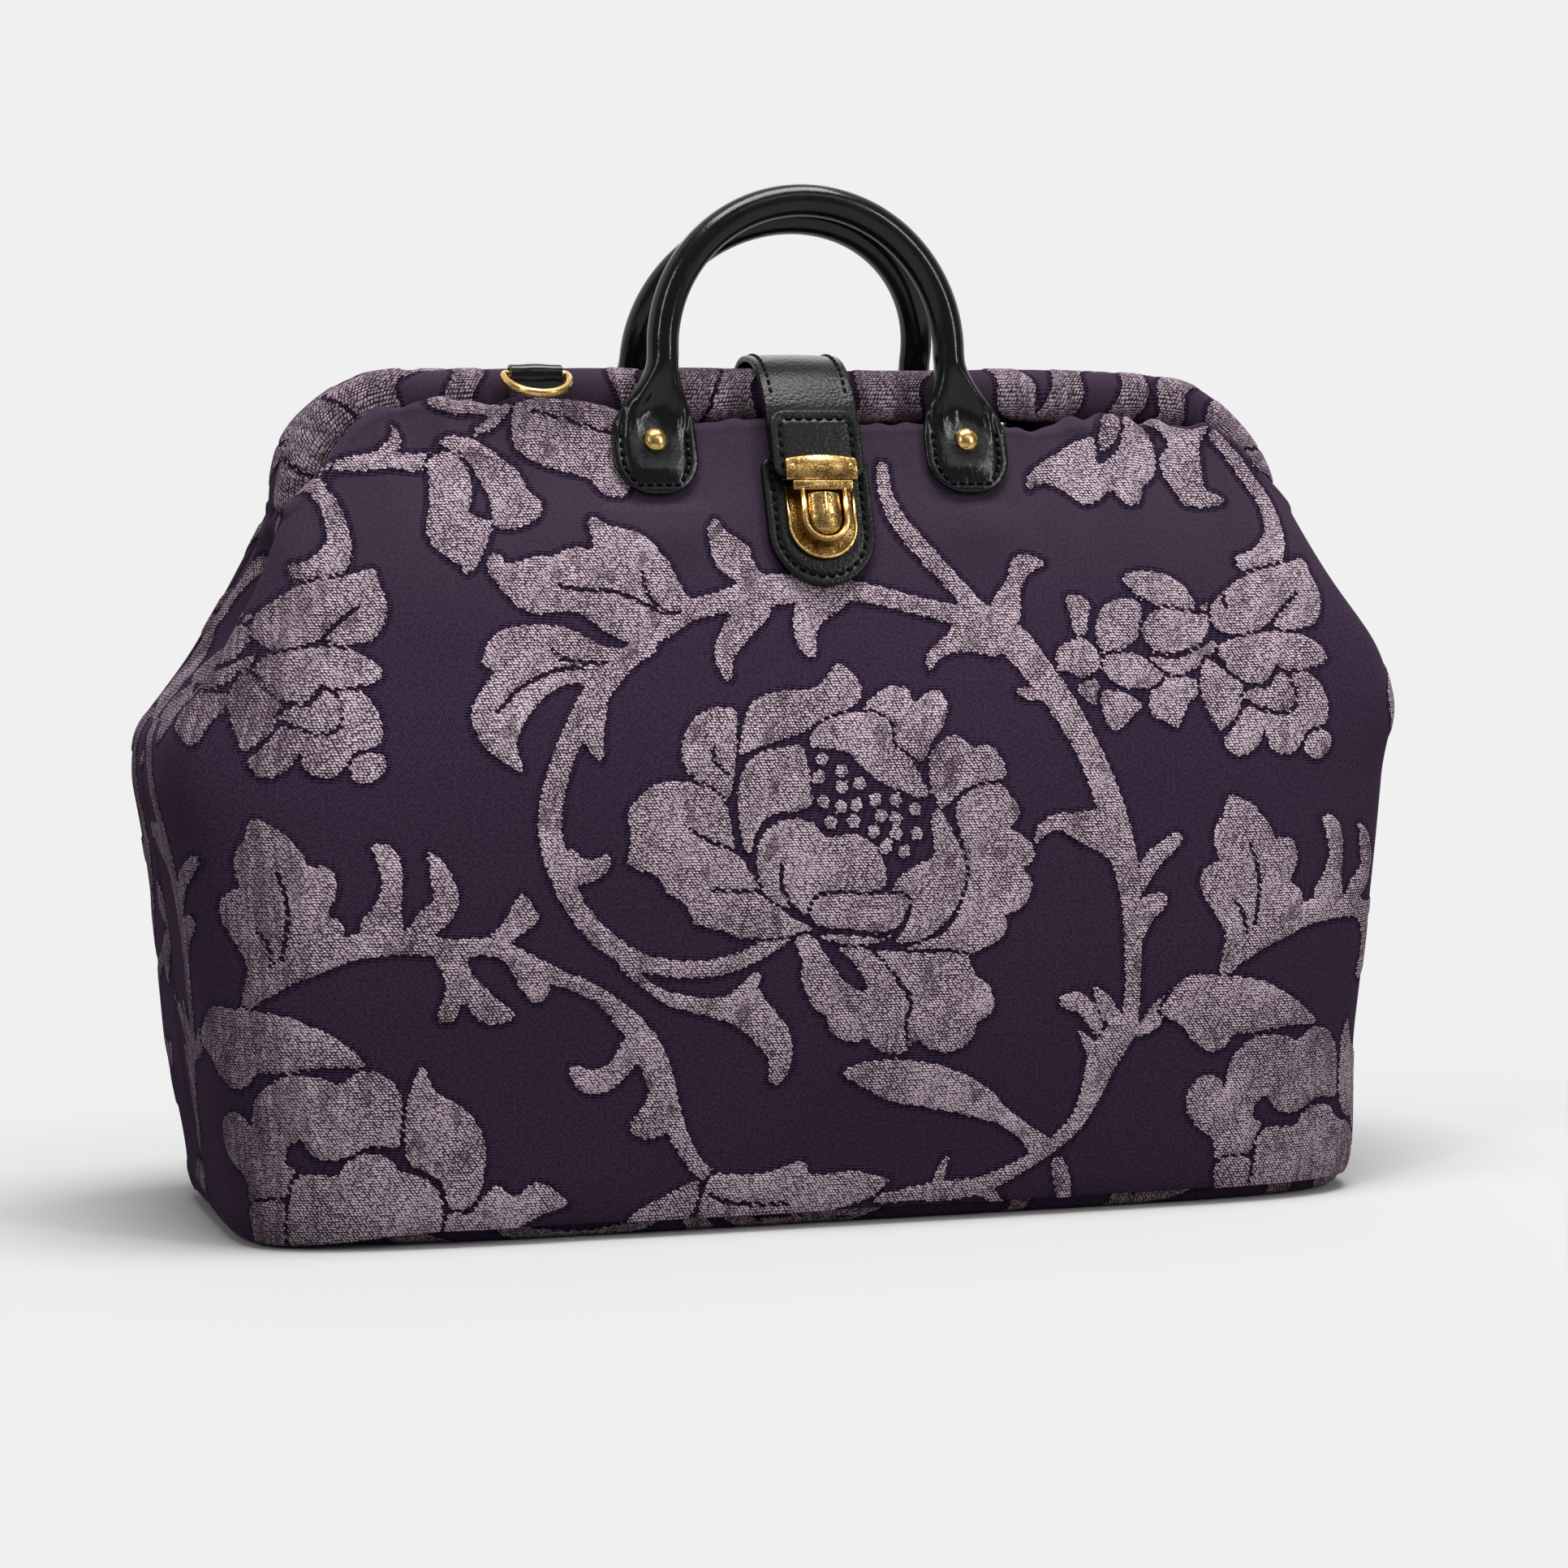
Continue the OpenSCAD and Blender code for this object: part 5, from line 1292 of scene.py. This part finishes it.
# %% Turned rivets
def turned(name, centres, axis, profile, finish, body):
    axis = unit(np.array(axis, float))
    side = unit(np.cross(axis, (1.0, 0, 0)))
    other = np.cross(axis, side)
    ring = np.linspace(0, 2 * math.pi, 41)[:-1]
    pattern = capped_faces(len(profile), len(ring))
    points, faces = [], []
    for centre in centres:
        first = len(points)
        for r, h in profile:
            points += [np.array(centre) + axis * h + r * (side * math.cos(f) + other * math.sin(f)) for f in ring]
        faces += [[first + k for k in face] for face in pattern]
    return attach(make_piece(name, np.array(points), faces, finish, tidy=True), body)


DOME = [(1.6, -6.0), (1.6, -0.1), (4.1, 0.0), (4.25, 0.25), (4.2, 0.6)] + [
    (4.2 * math.cos(f), 0.6 + 2.5 * math.sin(f)) for f in np.linspace(0.12, 1.5, 12)]
for back in (False, True):
    side, sign = side_of(back)
    place = handle_place(back)
    spots = [place(np.array(mid), np.array(RIVET_W), np.array(1.05)) for mid in (-HANDLE_X, HANDLE_X)]
    made = turned(f"{side}_rivet_domes", spots, (0, sign * math.cos(TILT), math.sin(TILT)), DOME, bright_brass,
                  f"{side}_upper")
    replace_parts(made, f"{side}_rivets")
print("rivets: 4 domes of", 2 * DOME[3][0], "mm")

# %% [markdown]
# ## Plates
# The lock and the leather patches lie flat on the sloping wall. They are all outlines with a rounded edge,
# raised from the slope by a small amount, so one helper makes them: it stacks the outline in steps that
# draw in towards the top, and can crown the top as well.

# %% Plates on the slope
PATCH_Z = RIDGE_Z - 60 * math.cos(TILT)
SLOPE_Y = -float(np.interp(PATCH_Z, LEVELS, depth_raw))


def on_slope(x, w, n, back=False):
    y = SLOPE_Y + w * math.sin(TILT) - n * math.cos(TILT)
    return np.stack([x + 0 * y, -y if back else y, PATCH_Z + w * math.cos(TILT) + n * math.sin(TILT)], -1)


def bullet(width, low, high, corner=0.6, per=28):
    r = width / 2
    bow = np.linspace(math.pi, 2 * math.pi, per)
    tip = np.linspace(0, math.pi / 2, 7)
    right = np.column_stack([r - corner + corner * np.cos(tip), high - corner + corner * np.sin(tip)])
    left = np.column_stack([-r + corner - corner * np.sin(tip), high - corner + corner * np.cos(tip)])
    return np.vstack([np.column_stack([r * np.cos(bow), low + r + r * np.sin(bow)]), right, left])


def panel(x0, x1, w0, w1, corners, per=7):
    made = []
    for (cx, cw), r, start in zip(((x1, w0), (x1, w1), (x0, w1), (x0, w0)), corners, (-90, 0, 90, 180)):
        f = np.radians(np.linspace(start, start + 90, per))
        ax, aw = (cx - r if cx == x1 else cx + r), (cw - r if cw == w1 else cw + r)
        made.append(np.column_stack([ax + r * np.cos(f), aw + r * np.sin(f)]))
    return np.vstack(made)


def drawn_in(ring, inset):
    ahead, behind = np.roll(ring, -1, 0) - ring, ring - np.roll(ring, 1, 0)
    run = unit(unit(ahead, 1e-6) + unit(behind, 1e-6), 1e-6)
    return ring + inset * np.column_stack([-run[:, 1], run[:, 0]])


def left_of(line):
    run = unit(np.gradient(line, axis=0))
    return np.column_stack([-run[:, 1], run[:, 0]])


def open_top(line, top):
    return np.vstack([[(line[0, 0], top)], line, [(line[-1, 0], top)]])


def plate(name, shape, low, high, edge, finish, body, crown=None, back=False, groove=None):
    ring_at = shape if callable(shape) else (lambda inset: drawn_in(shape, inset))
    steps = [(0, low), (0, high - edge)] + [(edge * (1 - math.cos(f)), high - edge + edge * math.sin(f))
                                            for f in np.linspace(0.3, math.pi / 2, 5)]
    if groove:
        steps += [(groove + d, high - 0.45 * math.exp(-(d / 0.75) ** 2)) for d in (-1.6, -1, -0.5, 0, 0.5, 1, 1.6)]
    rings = [(ring_at(inset), n) for inset, n in steps]
    heart, last = rings[0][0].mean(0), rings[-1][0]
    rings += [(heart + (last - heart) * k, high) for k in np.linspace(1, 0.02, 10)[1:]]
    crown = crown or (lambda x, w: 0 * x)
    points = np.array([on_slope(r[:, 0], r[:, 1], n + (crown(r[:, 0], r[:, 1]) if n > low else 0), back)
                       for r, n in rings])
    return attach(tube(name, points, finish), body)


def slope_line(x, w, n, back=False):
    return on_slope(np.asarray(x, float), np.asarray(w, float), np.full(len(x), n), back)


OUT_FRONT = np.array([0, -math.cos(TILT), math.sin(TILT)])
print("patch starts at height", round(PATCH_Z, 1), "mm")

# %% [markdown]
# ## Lock patch, strap and anchor
# The lock sits on a leather patch with a rounded foot. The closing strap comes from an anchor on the back,
# arches over both sleeves and ends under the clasp, with a second layer sewn on where it takes wear.

# %% Leather patches
FOOT_RUN = 29  # points of a bullet outline that go round its foot


def foot_hide(node, width, low, high, corner, groove, seam_top, body, crown=None, back=False):
    made = plate(f"{node}_hide", lambda i: bullet(width - 2 * i, low + i, high - i, max(corner - i, 0.4)),
                 0.3, 2.8, 0.8, flat_hide, body, crown, back, groove)
    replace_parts(made, node)
    seam = open_top(drawn_in(bullet(width, low, high, corner), groove)[:FOOT_RUN], seam_top)
    out = OUT_FRONT * (1, -1 if back else 1, 1)
    sew(f"{node}_stitches", [(slope_line(*seam.T, 2.85, back), out)], body)
    return made


patch = foot_hide("lock_patch", 38, 0, 46, 3, 3.3, 44, "front_upper",
                  lambda x, w: -0.5 * np.exp(-((x / 10) ** 2 + ((w - 24) / 12) ** 2)))
anchor_low = (RIDGE_Z - 48 * math.cos(TILT) - PATCH_Z) / math.cos(TILT)
anchor = foot_hide("strap_anchor", 33, anchor_low, anchor_low + 51.8, 1.5, 3.0, anchor_low + 48, "back_upper",
                   back=True)
print("anchor starts", round(anchor_low, 1), "mm up the slope")

# %% Closing strap
STRAP_W, STRAP_T, STRAP_MID, STRAP_END = 33.0, 2.4, 4.35, 36.9


def slope_yz(w, n):
    return on_slope(np.array(0.0), np.array(w), np.array(n))[1:]


strap_line = curve(np.array([
    (26.1, 273), (23.6, 280), (13.9, 287.5), (5.58, 292.4), (-5.58, 292.4), (-15.4, 287.8),
    slope_yz(66, 3.55), slope_yz(58, STRAP_MID), slope_yz(48, STRAP_MID), slope_yz(STRAP_END, STRAP_MID)]), False, 14)
strap_out = left_of(strap_line)
strap_out *= np.sign(strap_out[len(strap_out) // 2, 1])


def strap_rings(line, out, width, thick, corner=0.9):
    f = np.radians(np.arange(0, 91, 15))
    flat_x = width / 2 - corner
    quarter = np.column_stack([flat_x + corner * np.cos(f), thick / 2 - corner + corner * np.sin(f)])
    middle = np.column_stack([np.linspace(flat_x, -flat_x, 13)[1:-1], np.full(11, thick / 2)])
    top = np.vstack([quarter, middle, quarter[::-1] * (-1, 1)])
    ring = np.vstack([top, top[::-1] * (1, -1)])
    crown = 0.35 * np.clip(1 - (ring[:, 0] / (width / 2 - 4)) ** 2, 0, 1) * (ring[:, 1] > 0)
    n = ring[:, 1] + crown
    return np.array([np.column_stack([ring[:, 0], p[0] + o[0] * n, p[1] + o[1] * n]) for p, o in zip(line, out)])


strap_mesh = strap_rings(strap_line, strap_out, STRAP_W, STRAP_T)
strap_mesh[..., 0] *= 1 - 0.2 * smooth((np.arange(len(strap_line)) - len(strap_line) + 13) / 12)[:, None]
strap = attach(tube("closing_strap_hide", strap_mesh, flat_hide), "strap")
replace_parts(strap, "closure_strap")
TOP_RUN, SEAM_IN, BIT = slice(4, 88), 3.1, 7
lift = strap_line[TOP_RUN] + strap_out[TOP_RUN] * (STRAP_T / 2 + 0.1)
rows = []
for mid in (-STRAP_W / 2 + SEAM_IN, STRAP_W / 2 - SEAM_IN):
    line = np.column_stack([np.full(len(lift), mid), lift])
    for k in range(0, len(line) - BIT, BIT):
        rows.append((line[k:k + BIT + 1], (0, *strap_out[TOP_RUN][k + 4])))
sew("strap_stitches", rows, "strap")

# %% Second layer of the strap
facing = plate("strap_facing_hide",
               lambda i: panel(-16.2 + i, 16.2 - i, 37.5 + i, 62 - i, [max(r - i, 0.5) for r in (4, 6, 6, 4)]),
               4.9, 7.5, 0.7, flat_hide, "strap",
               lambda x, w: 0.25 * np.clip(1 - (x / 12) ** 2, 0, 1) - 0.1 * np.maximum(0, w - 57), groove=3.4)
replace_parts(facing, "strap_facing")
half_seam = np.array([(12.8, 44), (12.8, 55.5), (11.6, 57.6), (9.4, 58.6)])
seam = np.vstack([half_seam, half_seam[::-1] * (-1, 1)])
sew("strap_facing_stitches", [(slope_line(*seam.T, 7.4), OUT_FRONT)], "strap")
print("strap runs", round(run_length(strap_line)[-1]), "mm over the frame")

# %% [markdown]
# ## Press lock
# The lock has a rounded base plate with a raised lip, a horseshoe wall round the button, a bar across its
# top, a bulging press button, and a clasp plate on the strap. Each is its own small brass shape, so that
# light catches every edge.

# %% Base plate, lip and horseshoe wall
FACE_N = 2.85


def rail(name, line, profile, finish, body):
    rings = np.array([on_slope(p[0] + l[0] * profile[:, 0], p[1] + l[1] * profile[:, 0], profile[:, 1])
                      for p, l in zip(line, left_of(line))])
    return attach(tube(name, rings, finish), body)


def bar_section(half, low, high, corner, taper=0.0):
    f = np.radians(np.arange(0, 91, 18))
    right = np.column_stack([half - taper - corner + corner * np.cos(f), high - corner + corner * np.sin(f)])
    return np.vstack([[(half, low)], right, right[::-1] * (-1, 1), [(-half, low)]])


plate_ring = bullet(24.6, 9, 35.5, 0.8)
lock = plate("lock_plate", plate_ring, FACE_N - 0.3, FACE_N + 1.0, 0.4, brass, "front_upper")
lip_line = open_top(drawn_in(plate_ring, 0.55)[:FOOT_RUN], 34.5)
lip = rail("lock_lip", lip_line, bar_section(0.55, FACE_N + 0.6, FACE_N + 1.65, 0.4), bright_brass, "front_upper")
u_line = open_top(bullet(15.0, 14.5, 33.0, 0.5)[:FOOT_RUN - 1], 32.6)
horseshoe = rail("lock_wall", u_line, bar_section(1.35, FACE_N + 0.8, FACE_N + 6.4, 0.55, 0.3), brass, "front_upper")
inner = rail("lock_wall_rim", u_line, bar_section(0.45, FACE_N + 6.1, FACE_N + 6.75, 0.25), bright_brass, "front_upper")
cross_bar = plate("lock_bar", panel(-10.8, 10.8, 32.1, 35.4, (0.7,) * 4), FACE_N + 3.6, FACE_N + 6.7, 0.5, brass,
                  "front_upper", lambda x, w: 0.25 * (1 - (x / 10.8) ** 2))
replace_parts(lock, "lock_body")

# %% Button, clasp and pins
def press_button(name, width, low, high, base, shoulder, crown, finish, body):
    levels = [(0.0, base), (0.0, shoulder)] + [
        (width * 0.48 * (1 - math.cos(f)), shoulder + crown * math.sin(f)) for f in np.linspace(0.15, math.pi / 2, 14)]
    rings = []
    for inset, n in levels:
        ring = bullet(width - 2 * inset, low + inset, high - min(inset, 0.8), 0.12 * (width / 2 - inset))
        rings.append(on_slope(ring[:, 0], ring[:, 1], n))
    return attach(tube(name, np.array(rings), finish), body)


button = press_button("lock_button_cap", 12, 16.0, 31.7, FACE_N + 2.9, FACE_N + 4.4, 2.9, clasp_brass, "button")
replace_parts(button, "lock_button")
arch = np.linspace(12.3, -12.3, 25)
block = panel(-12.8, 12.8, 35.8, 43.2, (0.5, 0.4, 0.4, 0.5))
block = np.vstack([block[:8], np.column_stack([arch, 44.9 - 1.5 * (arch / 12.8) ** 2]), block[-8:], block[:1]])
span = run_length(block)
even = np.linspace(0, span[-1], 133)[:-1]
clasp_ring = np.column_stack([np.interp(even, span, column) for column in block.T])
clasp = plate("clasp_plate_brass", clasp_ring, 7.3, 8.9, 0.5, clasp_brass, "strap",
              lambda x, w: 1.1 * (1 - ((w - 40.2) / 5.0) ** 2))
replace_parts(clasp, "clasp_plate")
tongue = plate("clasp_tongue", panel(-6, 6, 32.6, 37, (0.4,) * 4), FACE_N + 2.0, FACE_N + 3.2, 0.3, brass, "strap")
pin_dome = [(0.8, -2.5), (0.8, 0.0), (1.25, 0.05), (1.2, 0.35), (0.8, 0.65), (0.3, 0.78)]
pin_spots = [on_slope(np.array(x), np.array(40.2), np.array(9.75)) for x in (-10.4, 10.4)]
pins = turned("clasp_pins", pin_spots, OUT_FRONT, pin_dome, bright_brass, "strap")
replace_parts(pins, "clasp_rivets")
print("lock: 9 brass pieces")

# %% [markdown]
# ## Rings
# Two D rings hang in short leather loops that come out of the seam under the frame. A ring is a round
# wire bent to a D, and its loop is a strip of leather folded round the straight bar.

# %% D rings and loops
RING_R, WIRE_R, RING_HANG = 11, 1.5, math.radians(27)
HALF_FOLD = np.array([(-0.8, -17.0), (-0.9, -9), (-1.7, -4.2), (-2.6, -0.6), (-1.9, 1.9)])


def d_ring(back):
    side, sign = side_of(back)
    x0, y0, z0 = (95, 16.1, 283.6) if back else (-95, -16.1, 287.2)
    f = np.linspace(0, math.pi, 34)
    bend = np.column_stack([RING_R * np.cos(f), 3 + RING_R * np.sin(f)])
    bar = np.column_stack([np.linspace(-RING_R, RING_R, 18), np.zeros(18)])
    line = np.vstack([bend, [(-11, 1.4), (-10.6, 0.4)], bar[1:-1], [(10.6, 0.4), (11, 1.4)]])
    run = unit(np.roll(line, -1, 0) - np.roll(line, 1, 0))
    beside = np.column_stack([run[:, 1], -run[:, 0]])
    ring = np.linspace(0, 2 * math.pi, 17)[:-1]
    down, level, over = math.sin(RING_HANG), math.cos(RING_HANG), WIRE_R * np.sin(ring)
    rings = []
    for p, b in zip(line, beside):
        flat = p + WIRE_R * np.cos(ring)[:, None] * b
        rings.append(np.column_stack([x0 + flat[:, 0], y0 + sign * (flat[:, 1] * level - over * down),
                                      z0 - flat[:, 1] * down - over * level]))
    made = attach(tube(f"{side}_d_ring", np.array(rings), bright_brass, closed=True), f"{side}_ring")
    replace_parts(made, f"{side}_ring")
    fold = curve(np.vstack([HALF_FOLD, [(0, 2.65)], HALF_FOLD[::-1] * (-1, 1)]), False, 6)
    bands = strap_rings(fold, left_of(fold), 18.2, 1.5, 0.5) * (1, sign, 1) + (x0, y0, z0)
    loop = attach(tube(f"{side}_ring_loop_hide", bands, rolled), f"{side}_upper")
    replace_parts(loop, f"{side}_ring_tab")
    rows = [(np.array([(x0 + e, y0 + sign * 2.4, z0 - 5.0 + k) for k in np.linspace(-5, 5, 9)]), (0, sign, 0))
            for e in (-7.2, 7.2)]
    sew(f"{side}_ring_loop_stitches", rows, f"{side}_upper", pitch=3.2, length=2.4, thick=0.7)
    return made


rings = [d_ring(False), d_ring(True)]
print("rings:", [r.name for r in rings])

# %% [markdown]
# ## Pieces kept from the solids
# The steel bows, their pins, the washers, the lock's spring and back plate and the base board are right as
# they are. They only need their finishes.

# %% Finishes for the kept solids
KEPT = {"front_frame": steel, "back_frame": steel, "hinge_pins": bright_brass, "front_washers": brass,
        "back_washers": brass, "lock_spring": steel, "lock_backplate": brass, "base_board": board}
for name, finish in KEPT.items():
    nodes[name].data.materials.clear()
    nodes[name].data.materials.append(finish)
print("kept solids:", sorted(KEPT))

# %% Measure and close
new_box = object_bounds()
for word, box in (("solids", cad_box), ("dressed", new_box)):
    print(word, [round((b - a) * 1000, 1) for a, b in zip(*box)], "mm")
